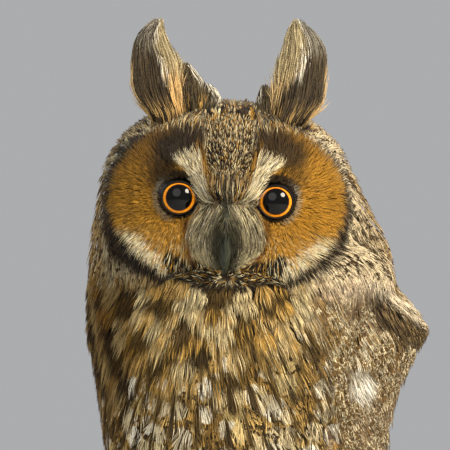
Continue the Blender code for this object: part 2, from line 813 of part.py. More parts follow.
def lower_bill_rings(grow):
    """The lower half, short and blunt, tucked behind the hook."""
    rings = []
    for k in range(LOWER_BILL_STEPS + 1):
        share = k / LOWER_BILL_STEPS
        middle = Vector(LOWER_BILL_FROM).lerp(Vector(LOWER_BILL_TO), share)
        half_width = LOWER_BILL_TIP[0] + LOWER_BILL_HALF[0] * (1.0 - share**2) + grow
        half_height = LOWER_BILL_TIP[1] + LOWER_BILL_HALF[1] * (1.0 - share**2) + grow
        rings.append(section_ring(middle, Vector(LOWER_BILL_UP), half_width, half_height))
    return rings


def tuft_vane(name, root, along, side, length, width, bend):
    """One long feather of an ear tuft, curved backwards, with its face towards the front."""
    rows = []
    face = np.cross(side, along)
    face = face / np.linalg.norm(face)
    for share, breadth in TUFT_STATIONS:
        middle = root + along * length * share + side * bend * share**2 - face * TUFT_CURL * share**2
        half = width * breadth / 2
        cupped = face * VANE_THICK
        rows.append((middle - side * half + cupped, middle, middle + side * half + cupped, face))
    return vane_mesh(name, rows)


def tuft_mound(side, spec, name, finish=None):
    """The mound of skin and short feathers that a tuft grows from."""
    bpy.ops.mesh.primitive_uv_sphere_add(segments=8, ring_count=5, radius=1.0)
    mound = adopt(name, finish)
    share = spec[6] / LEFT_TUFT[6]
    size = Vector(TUFT_MOUND) * (share * MM)
    centre = Vector((side * (spec[4][0] + 0.5), spec[4][1] + 0.5, spec[4][2] + 5.0)) * MM
    mound.data.transform(Matrix.Translation(centre) @ Matrix.Diagonal((*size, 1.0)))
    return mound


def tuft_vanes(side, spec):
    count, length, lean, lean_spread, root, root_spread, width = spec
    vanes = []
    for i in range(count):
        share = i / (count - 1)
        turn = math.radians(side * (lean + lean_spread * (share - 0.5)))
        along = np.array([math.sin(turn), 0.10, math.cos(turn)])
        along = along / np.linalg.norm(along)
        across = np.array([math.cos(turn), 0.0, -math.sin(turn)])
        reach = length * (0.66 + 0.34 * math.sin(math.pi * (0.1 + 0.7 * share)))
        apart = side * (root[0] + root_spread * (share - 0.5))
        place = np.array([apart, root[1] - 3.0 + TUFT_STACK * i, root[2] + 2.0])
        bend = side * (3.0 - 7.0 * share)
        vanes.append(to_model(tuft_vane(f"tuft_{side}_{i}", place, along, across, reach, width, bend)))
    return vanes


def ear_tuft(side, name, finish):
    """Long feathers that overlap like a half-closed fan. The owl's right tuft has a short inner lobe."""
    spec = LEFT_TUFT if side > 0 else RIGHT_TUFT
    core = to_model(tuft_mound(side, spec, name, finish))
    joined = tuft_vanes(side, spec)
    if side < 0:
        joined.append(to_model(tuft_mound(side, INNER_LOBE, "inner_mound")))
        joined += tuft_vanes(side, INNER_LOBE)
    unite(core, joined)
    return core


def tail_node(finish):
    """Twelve feathers: the middle pair lies uppermost, each pair outside it a step lower and shorter."""
    root, tip = np.array(TAIL_ROOT), np.array(TAIL_TIP)
    length = np.linalg.norm(tip - root)
    along = (tip - root) / length
    across = np.array([1.0, 0.0, 0.0])
    face = np.cross(across, along)
    face = face if face[1] > 0 else -face
    vanes = []
    for pair in range(TAIL_PAIRS):
        for side in (-1, 1):
            level = TAIL_PAIRS - 1 - pair + (1 if pair == 0 and side > 0 else 0)
            rows = []
            for share, breadth in TAIL_STATIONS:
                centre = (TAIL_SHAFT + TAIL_PITCH * pair) * (0.35 + 0.65 * share)
                half = TAIL_VANE * breadth / 2
                near = centre - half
                if pair:
                    near = max(near, TAIL_MIDLINE)
                middle = root + along * (length - TAIL_GRADE * pair) * share
                middle = middle + face * (level * TAIL_STEP - TAIL_TUCK)
                rows.append(
                    (
                        middle + across * side * near,
                        middle + across * side * max(centre, near + 1.0),
                        middle + across * side * (centre + half),
                        face,
                    )
                )
            vanes.append(vane_mesh(f"rectrix_{pair}_{side}", rows))
    core = loft("tail", coat_rings(COAT_SECTIONS[0][0], TAIL_COVERT_TOP, 7, 24), finish)
    up_rump = Vector(RUMP_NORMAL).normalized()
    trim(core, Vector(RUMP_POINT) + up_rump * GAP, -up_rump)
    unite(core, vanes)
    return core


def leg_node(side, name, finish, clear_of):
    rings = []
    for height, radius, apart, y in LEG_SECTIONS:
        ring = []
        for i in range(LEG_SIDES):
            around = 2 * math.pi * i / LEG_SIDES
            x = side * apart + radius * math.cos(around)
            ring.append((x, y + radius * 1.05 * math.sin(around), height))
        rings.append(ring)
    leg = loft(name, rings, finish)
    cut(leg, clear_of, keep_cutter=True)
    return leg


def perch_arc(turn, radius, x):
    """A point on an arc round the perch: 0 is its top, and positive angles run over its front."""
    angle = math.radians(turn)
    return (x, PERCH_Y - radius * math.sin(angle), PERCH_Z + radius * math.cos(angle))


def foot_nodes(side, word, skin, horn):
    """The foot, with its four toes round the perch, and a claw on each toe."""
    x0 = side * LEG_APART
    reach = PERCH_RADIUS + PERCH_BUMP + GAP + TOE_RADIUS
    rings = []
    for height, radius in ANKLE_SECTIONS:
        ring = []
        for i in range(ANKLE_SIDES):
            around = 2 * math.pi * i / ANKLE_SIDES
            ring.append((x0 + radius * math.cos(around), PERCH_Y - 0.5 + radius * math.sin(around), height))
        rings.append(ring)
    ankle = loft(f"foot_{word}", rings, skin)
    toes = []
    for toe, near, far, end in TOES:
        route, radii = [], []
        for k in range(TOE_STEPS + 1):
            share = k / TOE_STEPS
            x = x0 + side * (near + (far - near) * share)
            knuckle = 0.35 * math.cos(4 * math.pi * share)
            route.append(perch_arc(end * share, reach, x))
            radii.append(TOE_RADIUS * (1.0 - 0.16 * share) + 0.3 * knuckle - 0.3)
        toes.append(tube(f"toe_{word}_{toe}", route, radii, resolution=1))
        route, radii = [], []
        start = end + math.copysign(math.degrees(GAP / reach) + 0.3, end)
        for k in range(TOE_STEPS + 1):
            share = k / TOE_STEPS
            turn = start + math.copysign(CLAW_SWEEP * share, end)
            x = x0 + side * (far + (far - near) * 0.16 * share)
            arch = CLAW_ARCH * (math.sin(math.pi * share) - share)
            route.append(perch_arc(turn, reach + arch, x))
            radii.append(CLAW_RADIUS * (1.0 - share) ** 0.7 + 0.25)
        claw = tube(f"claw_{word}_{toe}", route, radii, resolution=1, finish=horn)
        shade(claw)
    unite(ankle, toes)
    shade(ankle)


def stand_and_perch(plate, steel, bark):
    rings = []
    for height in (0.0, BASE_HEIGHT):
        ring = []
        for corner in range(4):
            cx = (BASE_WIDTH / 2 - BASE_CORNER) * (1 if corner in (0, 3) else -1)
            cy = (BASE_DEPTH / 2 - BASE_CORNER) * (1 if corner in (0, 1) else -1)
            for k in range(CORNER_POINTS):
                turn = math.radians(90.0 * (corner + k / (CORNER_POINTS - 1)))
                ring.append((cx + BASE_CORNER * math.cos(turn), cy + BASE_CORNER * math.sin(turn), height))
        rings.append(ring)
    base = loft("stand_base", rings, plate)
    apply_modifier(
        base,
        "BEVEL",
        width=BASE_BEVEL * MM,
        segments=2,
        limit_method="ANGLE",
        angle_limit=math.radians(50.0),
    )

    rings = []
    for k in range(PERCH_STEPS + 1):
        x = PERCH_LENGTH * (k / PERCH_STEPS - 0.5)
        away = abs(x) / (PERCH_LENGTH / 2)
        ring = []
        for i in range(PERCH_SIDES):
            around = 2 * math.pi * i / PERCH_SIDES
            bark_line = PERCH_BUMP * math.sin(3 * around + x * 0.05) * math.cos(2 * around - x * 0.03)
            swell = PERCH_SWELL * smoothstep(0.55, 1.0, away) * math.sin(x * 0.09 + 1.0)
            radius = PERCH_RADIUS + bark_line + swell
            slant = PERCH_SLANT * radius * math.cos(around) if k in (0, PERCH_STEPS) else 0.0
            ring.append((x + slant, PERCH_Y + radius * math.sin(around), PERCH_Z + radius * math.cos(around)))
        rings.append(ring)
    perch = loft("perch", rings, bark)

    low, high = BASE_HEIGHT - ROD_SINK, PERCH_Z - PERCH_RADIUS + ROD_SINK
    for side, word in ((-1, "right"), (1, "left")):
        for grow in (GAP, 0.0):
            bpy.ops.mesh.primitive_cylinder_add(
                vertices=ROD_SIDES,
                radius=(ROD_RADIUS + grow) * MM,
                depth=(high - low + 2 * grow) * MM,
                location=(side * ROD_SPREAD * MM, PERCH_Y * MM, (low + high) / 2 * MM),
            )
            rod = adopt(f"stand_rod_{word}", None if grow else steel)
            if grow:
                cut(base, rod, keep_cutter=True)
                cut(perch, rod)
            else:
                shade(rod)
    shade(base, 30.0)
    shade(perch, 35.0)


def build():
    clear_scene()
    coat = material("breast_coat", (0.30, 0.20, 0.10), 0.85)
    mask = material("facial_disc", (0.45, 0.25, 0.08), 0.85)
    quill = material("flight_feathers", (0.20, 0.14, 0.09), 0.75)
    horn = material("black_horn", (0.03, 0.03, 0.035), 0.35)
    iris = material("orange_eye", (0.80, 0.28, 0.02), 0.08)
    down = material("foot_down", (0.55, 0.42, 0.25), 0.9)
    plate = material("stained_oak", (0.10, 0.06, 0.035), 0.45)
    steel = material("brushed_steel", (0.55, 0.55, 0.56), 0.35, 1.0)
    bark = material("oak_bark", (0.16, 0.13, 0.10), 0.9)

    stand_and_perch(plate, steel, bark)

    torso = loft("torso", coat_rings(92.0, TORSO_TOP, 11), coat)
    trim(torso, RUMP_POINT, RUMP_NORMAL)
    shade(torso)
    neck = loft("neck", coat_rings(TORSO_TOP + GAP, NECK_TOP, 3), coat)
    shade(neck)

    head = to_model(head_body(mask))
    blend_to_neck(head)
    unite(head, [to_model(lid_ring(-1)), to_model(lid_ring(1))])
    for side in (-1, 1):
        cut(head, to_model(eye_ball(side, "socket", EYE_RADIUS + GAP, iris)))
    trim(head, (0.0, 0.0, NECK_TOP + GAP), (0.0, 0.0, -1.0))
    over_head = swollen(head, GAP)
    cut(head, loft("bill_bed", bill_rings(GAP)))
    cut(head, loft("lower_bill_bed", lower_bill_rings(GAP)))
    shade(head)
    for side, word in ((-1, "right"), (1, "left")):
        shade(to_model(eye_ball(side, f"eye_{word}", EYE_RADIUS, iris)))
        tuft = ear_tuft(side, f"ear_tuft_{word}", quill)
        cut(tuft, over_head, keep_cutter=True)
        shade(tuft, 30.0)
    bpy.data.objects.remove(over_head, do_unlink=True)
    upper = loft("bill_upper", bill_rings(0.0), horn)
    for side in (-1, 1):
        bpy.ops.mesh.primitive_uv_sphere_add(segments=8, ring_count=6, radius=NOSTRIL_RADIUS * MM)
        nostril = adopt("nostril")
        place = Vector((side * NOSTRIL_AT[0], NOSTRIL_AT[1], NOSTRIL_AT[2]))
        nostril.data.transform(Matrix.Translation(place * MM))
        cut(upper, to_model(nostril))
    shade(upper)
    lower = loft("bill_lower", lower_bill_rings(0.0), horn)
    cut(lower, loft("bite", bill_rings(GAP)))
    shade(lower)

    for word, out in (("left", LEFT_SHOULDER_OUT), ("right", RIGHT_SHOULDER_OUT)):
        wing = wing_core(f"wing_{word}", quill, out)
        unite(wing, wing_feathers(out))
        if word == "right":
            mirror(wing)
        shade(wing, 30.0)
    shade(tail_node(quill), 30.0)

    over_torso = swollen(torso, GAP)
    for side, word in ((-1, "right"), (1, "left")):
        shade(leg_node(side, f"leg_{word}", down, over_torso))
        foot_nodes(side, word, down, horn)
    bpy.data.objects.remove(over_torso, do_unlink=True)


build()
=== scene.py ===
"""The looks of the perched long-eared owl: skin, feathers, eyes, bill, claws, branch and stand.

The owl faces -Y with its head turned to its own left, and +X is its left. Shapes are worked out in
millimetres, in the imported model's frame, and MM turns them into Blender's metres.
"""

import math
from itertools import product

import bmesh
import bpy
import numpy as np
from mathutils import Matrix, Vector
from mathutils.bvhtree import BVHTree


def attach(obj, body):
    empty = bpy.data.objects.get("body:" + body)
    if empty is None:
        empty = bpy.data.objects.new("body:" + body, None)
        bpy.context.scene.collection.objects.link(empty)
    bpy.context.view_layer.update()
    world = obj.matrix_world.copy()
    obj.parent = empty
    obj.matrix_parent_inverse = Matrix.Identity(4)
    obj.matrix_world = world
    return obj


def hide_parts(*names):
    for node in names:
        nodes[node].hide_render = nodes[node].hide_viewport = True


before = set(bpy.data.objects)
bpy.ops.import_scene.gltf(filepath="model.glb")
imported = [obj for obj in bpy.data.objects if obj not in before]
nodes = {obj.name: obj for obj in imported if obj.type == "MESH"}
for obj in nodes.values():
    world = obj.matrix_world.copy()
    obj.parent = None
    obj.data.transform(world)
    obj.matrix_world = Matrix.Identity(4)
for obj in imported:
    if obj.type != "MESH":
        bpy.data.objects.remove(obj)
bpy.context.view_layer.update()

MM = 0.001
chance = np.random.default_rng(41)

# The body's coat at the tips of its feathers: height, half width, front, back
COAT_SECTIONS = np.array(
    (
        (64.0, 3.0, 65.0, 69.5),
        (76.0, 7.5, 58.5, 68.5),
        (88.0, 13.0, 50.0, 68.0),
        (100.0, 20.0, 39.0, 68.0),
        (112.0, 26.5, 26.0, 68.5),
        (124.0, 32.5, 12.0, 69.0),
        (138.0, 38.0, -4.0, 69.0),
        (155.0, 42.5, -20.0, 68.0),
        (178.0, 46.0, -33.0, 65.5),
        (205.0, 49.0, -42.5, 61.5),
        (235.0, 51.5, -47.0, 57.5),
        (260.0, 54.5, -48.0, 53.5),
        (280.0, 57.0, -47.0, 51.0),
        (297.0, 59.5, -42.5, 48.5),
    )
)
BED_SECTIONS = np.vstack(
    (
        (
            (8.0, 25.0, 92.0, 104.0),
            (28.0, 26.5, 85.0, 99.0),
            (60.0, 28.5, 72.0, 91.0),
            (88.0, 30.0, 55.0, 83.0),
            (100.0, 31.0, 45.0, 80.0),
            (112.0, 33.0, 31.0, 77.0),
            (124.0, 36.5, 14.0, 74.5),
            (138.0, 40.5, -3.0, 72.0),
            (155.0, 43.5, -20.0, 69.5),
        ),
        COAT_SECTIONS[8:],
    )
)
RECESS = 9.0
RECESS_EDGE = (4.5, 56.0, 20.0)
RECESS_FOOT = (104.0, 150.0)
RECESS_TOP = (272.0, 297.0)
NECK_TOP = 297.0
# Where the coat is drawn in under the wing: the flank feathers run on over the wing's front edge
SKIN_FRONT = (37.0, 50.0)
FLANK_FRONT = (56.0, 70.0)
RECESS_BACK = (168.0, 177.0)
# The closed shell of the body runs between these heights, with a dome over it
SHELL_FOOT = 92.0
DOME = 17.0
SHELL_SIDES = 96
# The wing's small feathers begin at this angle round the body, and reach this much further round
WING_FRONT = 52.0
WING_SPAN = 106.0

# Head, in its own frame: x to the owl's left, y backwards from between the eyes, z up
HEAD_YAW = 22.0
HEAD_ROLL = 2.4
EYE_LINE = 328.0
FACE_AHEAD = 36.0
HEAD_AXIS = (-3.0, -3.5)
HEAD_HALF_WIDTH = 48.0
CROWN = 37.5
JOWL = 56.0
HEAD_BACK = 38.0
NECK_BLEND = (302.0, 342.0)
FACE_KEPT = (16.0, 40.0)
DISC_HALF_WIDTH = 42.5
DISC_HALF_HEIGHT = 31.0
EYE_APART = 17.5
EYE_RADIUS = 9.5
EYE_DEPTH = 11.6


def smoothstep(low, high, value):
    share = np.clip((value - low) / (high - low), 0.0, 1.0)
    return share * share * (3.0 - 2.0 * share)


def unit(vectors):
    return vectors / np.maximum(np.linalg.norm(vectors, axis=-1, keepdims=True), 1e-9)


def shade_of(text):
    """A colour from its sRGB hex digits, turned to linear light."""
    channels = np.array([int(text[i : i + 2], 16) / 255.0 for i in (0, 2, 4)])
    return np.where(channels <= 0.04045, channels / 12.92, ((channels + 0.055) / 1.055) ** 2.4)


def mixed(first, second, share):
    """Two colours by the second's share. Either may be hex digits."""
    first, second = (shade_of(colour) if isinstance(colour, str) else colour for colour in (first, second))
    share = np.asarray(share)[..., None]
    return first * (1.0 - share) + second * share


# The form of the body and the head


def row_at(table, height):
    """Half width, front and back at a height, on a smooth curve through the table's rows."""
    heights = table[:, 0]
    height = np.clip(height, heights[0], heights[-1])
    i = np.clip(np.searchsorted(heights, height, side="right") - 1, 0, len(table) - 2)
    before, here = table[np.maximum(i - 1, 0)], table[i]
    there, after = table[i + 1], table[np.minimum(i + 2, len(table) - 1)]
    span = (there[..., 0] - here[..., 0])[..., None]
    s = ((height - here[..., 0]) / span[..., 0])[..., None]
    slope_here = (there - before) / (there[..., :1] - before[..., :1]) * span
    slope_there = (after - here) / (after[..., :1] - here[..., :1]) * span
    found = (
        (2 * s**3 - 3 * s**2 + 1) * here
        + (s**3 - 2 * s**2 + s) * slope_here
        + (3 * s**2 - 2 * s**3) * there
        + (s**3 - s**2) * slope_there
    )
    return found[..., 1], found[..., 2], found[..., 3]


def on_section(table, height, angle, front_fade=None):
    """Points of a section: the angle runs from the front, at 0, round the owl's left side to the back."""
    height, angle = np.broadcast_arrays(np.asarray(height, float), np.asarray(angle, float))
    half_width, front, back = row_at(table, height)
    middle = (front + back) / 2.0
    deeper, edge, reach = RECESS_EDGE
    from_front = np.abs(angle)
    depth = RECESS + deeper * np.exp(-(((from_front - edge) / reach) ** 2))
    drawn = depth / 50.0 * smoothstep(*RECESS_FOOT, height) * (1.0 - smoothstep(*RECESS_TOP, height))
    if front_fade:
        drawn = drawn * smoothstep(*front_fade, from_front) * (1.0 - smoothstep(*RECESS_BACK, from_front))
    turn = np.radians(angle)
    inner = 1.0 - drawn
    deep = (back - front) / 2.0
    return np.stack((half_width * np.sin(turn) * inner, middle - deep * np.cos(turn) * inner, height), -1)


def bed_normal(height, angle):
    """The way out from the bed that the wing's feathers lie on."""
    height, angle = np.broadcast_arrays(np.asarray(height, float), np.asarray(angle, float))
    step_round = on_section(BED_SECTIONS, height, angle + 1.0) - on_section(BED_SECTIONS, height, angle - 1.0)
    step_up = on_section(BED_SECTIONS, height + 1.0, angle) - on_section(BED_SECTIONS, height - 1.0, angle)
    normal = np.cross(step_round, step_up)
    normal[..., 2] *= 1.0 - smoothstep(250.0, 270.0, height)
    return unit(normal)


def on_bed(height, angle, lift):
    """Points at a height and an angle, lifted off the bed."""
    return on_section(BED_SECTIONS, height, angle) + bed_normal(height, angle) * np.asarray(lift)[..., None]


def head_matrix():
    """The head's own frame, turned to the owl's left and tilted."""
    yaw = math.radians(HEAD_YAW)
    ahead = Vector((math.sin(yaw), -math.cos(yaw), 0.0))
    origin = Vector((HEAD_AXIS[0], HEAD_AXIS[1], EYE_LINE)) + ahead * FACE_AHEAD
    turn = Matrix.Rotation(yaw, 4, "Z") @ Matrix.Rotation(math.radians(HEAD_ROLL), 4, "Y")
    return Matrix.Translation(origin) @ turn


HEAD_FRAME = head_matrix()
HEAD_TURN = np.array(HEAD_FRAME.to_3x3())
HEAD_ORIGIN = np.array(HEAD_FRAME.translation)


def from_head(points):
    return np.asarray(points) @ HEAD_TURN.T + HEAD_ORIGIN


def to_head(points):
    return (np.asarray(points) - HEAD_ORIGIN) @ HEAD_TURN


def face_relief(x, z):
    """How far the face stands forward of the plain head."""
    side = np.abs(x)
    bowl = -5.5 * np.exp(-(((side - 20.0) / 13.0) ** 2) - (((z + 1.0) / 15.0) ** 2))
    edge = np.hypot(x / DISC_HALF_WIDTH, (z + 0.5) / DISC_HALF_HEIGHT)
    rim = 2.8 * np.exp(-(((edge - 1.0) / 0.075) ** 2)) * smoothstep(6.0, 16.0, side + np.maximum(-z, 0.0))
    wedge = 4.5 * np.exp(-((x / 7.0) ** 2)) * smoothstep(-22.0, 4.0, z) * (1.0 - smoothstep(14.0, 34.0, z))
    brow_share = np.clip((side / 20.0 + z / 15.0) / 2.0, 0.0, 1.0)
    brow_gap = np.hypot(side - 20.0 * brow_share, z - (15.0 * brow_share - 2.0))
    brow = 3.0 * np.exp(-((brow_gap / 4.2) ** 2))
    cheek = 5.0 * np.exp(-((x / 11.0) ** 2) - (((z + 15.0) / 11.0) ** 2))
    return bowl + rim + wedge + brow + cheek


def head_surface(polar, around):
    """Points of the head in the model's frame: polar runs from the face's middle, 0, to the nape."""
    x, y, z = np.sin(polar) * np.cos(around), -np.cos(polar), np.sin(polar) * np.sin(around)
    power = np.where(z > 0, 2.25, 2.7)
    reach = (
        np.abs(x / HEAD_HALF_WIDTH) ** power
        + np.abs(y / np.where(y > 0, HEAD_BACK, FACE_AHEAD)) ** power
        + np.abs(z / np.where(z > 0, CROWN, JOWL)) ** power
    )
    radius = reach ** (-1.0 / power)
    place = np.stack((x * radius, FACE_AHEAD + y * radius, z * radius), -1)
    ahead = 1.0 - smoothstep(12.0, 34.0, place[..., 1])
    place[..., 1] -= face_relief(place[..., 0], place[..., 2]) * ahead
    deep = place[..., 1].copy()
    place = from_head(place)
    weight = (1.0 - smoothstep(*NECK_BLEND, place[..., 2])) * smoothstep(*FACE_KEPT, deep)
    half_width, front, back = row_at(COAT_SECTIONS, np.full(place.shape[:-1], NECK_TOP))
    middle, depth = (front + back) / 2.0, (back - front) / 2.0
    angle = np.degrees(np.arctan2(place[..., 0] / half_width, -(place[..., 1] - middle) / depth))
    target = on_section(COAT_SECTIONS, NECK_TOP, angle, SKIN_FRONT)
    target[..., 2] = place[..., 2]
    return place * (1.0 - weight[..., None]) + target * weight[..., None]


# Making meshes


def new_object(name, points, faces, finish=None, smooth=True):
    """An object from points in millimetres and faces of one size."""
    faces = np.asarray(faces, np.int32)
    corners = faces.shape[1]
    mesh = bpy.data.meshes.new(name)
    mesh.vertices.add(len(points))
    mesh.vertices.foreach_set("co", (np.asarray(points, float) * MM).ravel())
    mesh.loops.add(faces.size)
    mesh.loops.foreach_set("vertex_index", faces.ravel())
    mesh.polygons.add(len(faces))
    mesh.polygons.foreach_set("loop_start", np.arange(0, faces.size, corners, dtype=np.int32))
    mesh.polygons.foreach_set("use_smooth", np.full(len(faces), smooth))
    mesh.update(calc_edges=True)
    obj = bpy.data.objects.new(name, mesh)
    bpy.context.scene.collection.objects.link(obj)
    if finish:
        mesh.materials.append(finish)
    return obj


def paint(mesh, name, colours):
    """A colour on each point of the mesh, under this name."""
    layer = mesh.color_attributes.new(name, "FLOAT_COLOR", "POINT")
    rgba = np.ones((len(mesh.vertices), 4), np.float32)
    rgba[:, : colours.shape[-1]] = colours.reshape(-1, colours.shape[-1])
    layer.data.foreach_set("color", rgba.ravel())


def set_map(mesh, name, places):
    layer = mesh.uv_layers.new(name=name)
    layer.data.foreach_set("uv", np.ascontiguousarray(places, np.float32).ravel())


def grid_faces(down, across, closed):
    """Quads of a grid of points, closed round its rows or open."""
    faces = []
    width = across if closed else across + 1
    for j in range(down):
        for i in range(across):
            k = (i + 1) % width if closed else i + 1
            faces.append((j * width + i, j * width + k, (j + 1) * width + k, (j + 1) * width + i))
    return faces


def body_shell(front_fade):
    """The coat's outline, closed, with a rounded shoulder that goes up into the head."""
    heights = np.linspace(SHELL_FOOT, NECK_TOP, 70)[:, None]
    angles = np.linspace(-180.0, 180.0, SHELL_SIDES + 1)[None, :-1]
    sides = on_section(COAT_SECTIONS, heights, angles, front_fade)
    turn = np.radians(np.linspace(8.0, 84.0, 10))[:, None]
    top = np.repeat(sides[-1:], len(turn), 0)
    axis = np.array((0.0, 5.0, 0.0))
    spread = 1.0 - 0.42 * (1.0 - np.cos(turn))
    top = axis + (top - axis) * spread[..., None]
    top[..., 2] = NECK_TOP + DOME * np.sin(turn)
    points = np.concatenate((sides, top)).reshape(-1, 3)
    count, last = len(points), len(points) - SHELL_SIDES
    foot, crown = points[:SHELL_SIDES].mean(0), points[last:].mean(0)
    faces = grid_faces(count // SHELL_SIDES - 1, SHELL_SIDES, True)
    following = [(k, (k + 1) % SHELL_SIDES) for k in range(SHELL_SIDES)]
    faces += [(count, a, b, b) for a, b in following]
    faces += [(count + 1, last + b, last + a, last + a) for a, b in following]
    return np.vstack((points, foot, crown)), faces


def capped(rings):
    """A closed shell from rings of points, from the front pole to the back one."""
    down, around = rings.shape[:2]
    points = rings.reshape(-1, 3)
    faces = [tuple(f) for f in grid_faces(down - 1, around, True)]
    front, back = points[:around].mean(0), points[-around:].mean(0)
    faces += [(len(points), (k + 1) % around, k) for k in range(around)]
    last = len(points) - around
    faces += [(len(points) + 1, last + k, last + (k + 1) % around) for k in range(around)]
    return np.vstack((points, front, back)), faces


def head_shell():
    polar = np.linspace(0.012, math.pi - 0.02, 110)[:, None]
    around = np.linspace(0.0, 2.0 * math.pi, 161)[None, :-1]
    return capped(head_surface(polar, around))


def closed_sheet(down, across):
    """Quads of a grid of points, of the same grid under it, and of the wall round both."""
    quads = np.array(grid_faces(down - 1, across - 1, False))
    count = down * across
    rim = list(range(across)) + [j * across + across - 1 for j in range(1, down)]
    rim += [(down - 1) * across + i for i in range(across - 2, -1, -1)]
    rim += [j * across for j in range(down - 2, 0, -1)]
    wall = [(a, a + count, b + count, b) for a, b in zip(rim, rim[1:] + rim[:1])]
    return np.vstack((quads, quads[:, ::-1] + count, wall))


def wing_arm(out):
    """The arm and hand under the wing's feathers, closed, on the owl's left side."""
    share = np.linspace(0.0, 1.0, 33)[:, None]
    round_share = np.linspace(0.0, 1.0, 33)[None, :]
    angle = WING_FRONT + WING_SPAN * round_share + 6.0 * share * (1.0 - round_share)
    top = 264.0 + 29.0 * np.sin(np.pi * np.minimum(0.85 * round_share, 0.5))
    foot = 174.0 + 32.0 * round_share
    height = top + (foot - top) * share
    lens = np.sin(np.pi * round_share) ** 0.5 * np.minimum(share / 0.14, 1.0) ** 0.6
    lens = lens * (1.0 - smoothstep(0.2, 1.0, share))
    thick = 10.0 * lens + shoulder_lift(angle, height, out) * lens**0.5
    outer, inner = on_bed(height, angle, 1.6 + thick), on_bed(height, angle, -1.2 + 0.0 * thick)
    return np.vstack((outer.reshape(-1, 3), inner.reshape(-1, 3))), closed_sheet(33, 33)


def shoulder_lift(angle, height, out):
    """How far the bend of the wing stands out from the body."""
    return out * np.exp(-(((angle - 114.0) / 30.0) ** 2) - ((height - 285.0) / 24.0) ** 2)


def merged(name, shells):
    """One object from closed shells of points in millimetres, with its faces turned outwards."""
    points, faces, offset = [], [], 0
    for shell_points, shell_faces in shells:
        points.append(shell_points)
        faces += [tuple(k + offset for k in face) for face in shell_faces]
        offset += len(shell_points)
    mesh = bpy.data.meshes.new(name)
    mesh.from_pydata([tuple(p) for p in np.vstack(points) * MM], [], [tuple(dict.fromkeys(f)) for f in faces])
    obj = bpy.data.objects.new(name, mesh)
    bpy.context.scene.collection.objects.link(obj)
    shape = bmesh.new()
    shape.from_mesh(mesh)
    bmesh.ops.recalc_face_normals(shape, faces=shape.faces)
    shape.to_mesh(mesh)
    shape.free()
    return obj


def applied(obj, *steps):
    """The object with these modifiers worked into its mesh."""
    for kind, settings in steps:
        step = obj.modifiers.new(kind.lower(), kind)
        for key, value in settings.items():
            setattr(step, key, value)
    bpy.context.view_layer.update()
    made = bpy.data.meshes.new_from_object(obj.evaluated_get(bpy.context.evaluated_depsgraph_get()))
    obj.modifiers.clear()
    old, obj.data = obj.data, made
    bpy.data.meshes.remove(old)
    return obj


def mesh_points(mesh):
    points = np.empty(len(mesh.vertices) * 3)
    mesh.vertices.foreach_get("co", points)
    return points.reshape(-1, 3) / MM


def mesh_normals(mesh):
    normals = np.empty(len(mesh.vertices) * 3)
    mesh.vertices.foreach_get("normal", normals)
    return normals.reshape(-1, 3)


class Guide:
    """A smooth surface that feathers are rooted under and lie along."""

    def __init__(self, name, shells, voxel, smoothing):
        obj = merged(name, shells)
        applied(
            obj,
            ("REMESH", {"mode": "VOXEL", "voxel_size": voxel * MM}),
            ("SMOOTH", {"factor": 0.5, "iterations": smoothing}),
        )
        self.object = obj
        mesh = obj.data
        mesh.calc_loop_triangles()
        self.points = mesh_points(mesh)
        self.normals = mesh_normals(mesh)
        triangles = np.empty(len(mesh.loop_triangles) * 3, np.int32)
        mesh.loop_triangles.foreach_get("vertices", triangles)
        self.triangles = triangles.reshape(-1, 3)
        self.tree = BVHTree.FromPolygons(self.points.tolist(), self.triangles.tolist())
        a, b, c = (self.points[self.triangles[:, k]] for k in range(3))
        self.areas = np.linalg.norm(np.cross(b - a, c - a), axis=1) / 2.0

    def nearest(self, points):
        """The surface's nearest points to these, and its smooth normals there."""
        places, normals = np.empty_like(points), np.empty_like(points)
        for k, point in enumerate(points.tolist()):
            place, _, index, _ = self.tree.find_nearest(point)
            places[k] = place
            corners = self.triangles[index]
            weights = 1.0 / (np.linalg.norm(self.points[corners] - places[k], axis=1) + 0.1)
            normals[k] = weights @ self.normals[corners]
        return places, unit(normals)

    def scatter(self, keep, tries=7.0):
        """Points strewn evenly over the surface, each keeping the spacing that keep gives there."""
        gaps = keep(self.points[self.triangles].mean(1))
        weights = np.where(gaps > 0.0, self.areas / np.maximum(gaps, 0.3) ** 2, 0.0)
        count = int(tries * weights.sum())
        faces = chance.choice(len(weights), count, p=weights / weights.sum())
        a, b = chance.random(count), chance.random(count)
        flip = a + b > 1.0
        a[flip], b[flip] = 1.0 - a[flip], 1.0 - b[flip]
        corners = self.points[self.triangles[faces]]
        points = corners[:, 0] + (corners[:, 1] - corners[:, 0]) * a[:, None]
        points += (corners[:, 2] - corners[:, 0]) * b[:, None]
        normals = unit(self.normals[self.triangles[faces]].mean(1))
        chosen = spaced(points, keep(points))
        return points[chosen], normals[chosen]


CELL = 3.0


def spaced(points, spacing):
    """Which of the points stay when each keeps its spacing from those before it."""
    grid, chosen = {}, []
    for k, (point, gap) in enumerate(zip(points.tolist(), spacing.tolist())):
        if gap <= 0.0:
            continue
        reach = math.ceil(gap / CELL)
        key = tuple(math.floor(c / CELL) for c in point)
        near = product(*(range(c - reach, c + reach + 1) for c in key))
        if not any(math.dist(point, other) < gap for cell in near for other in grid.get(cell, ())):
            grid.setdefault(key, []).append(point)
            chosen.append(k)
    return np.array(chosen, int)


# Feathers

# A feather's centre line is a row of stations with a point, the way out and the way along at each.


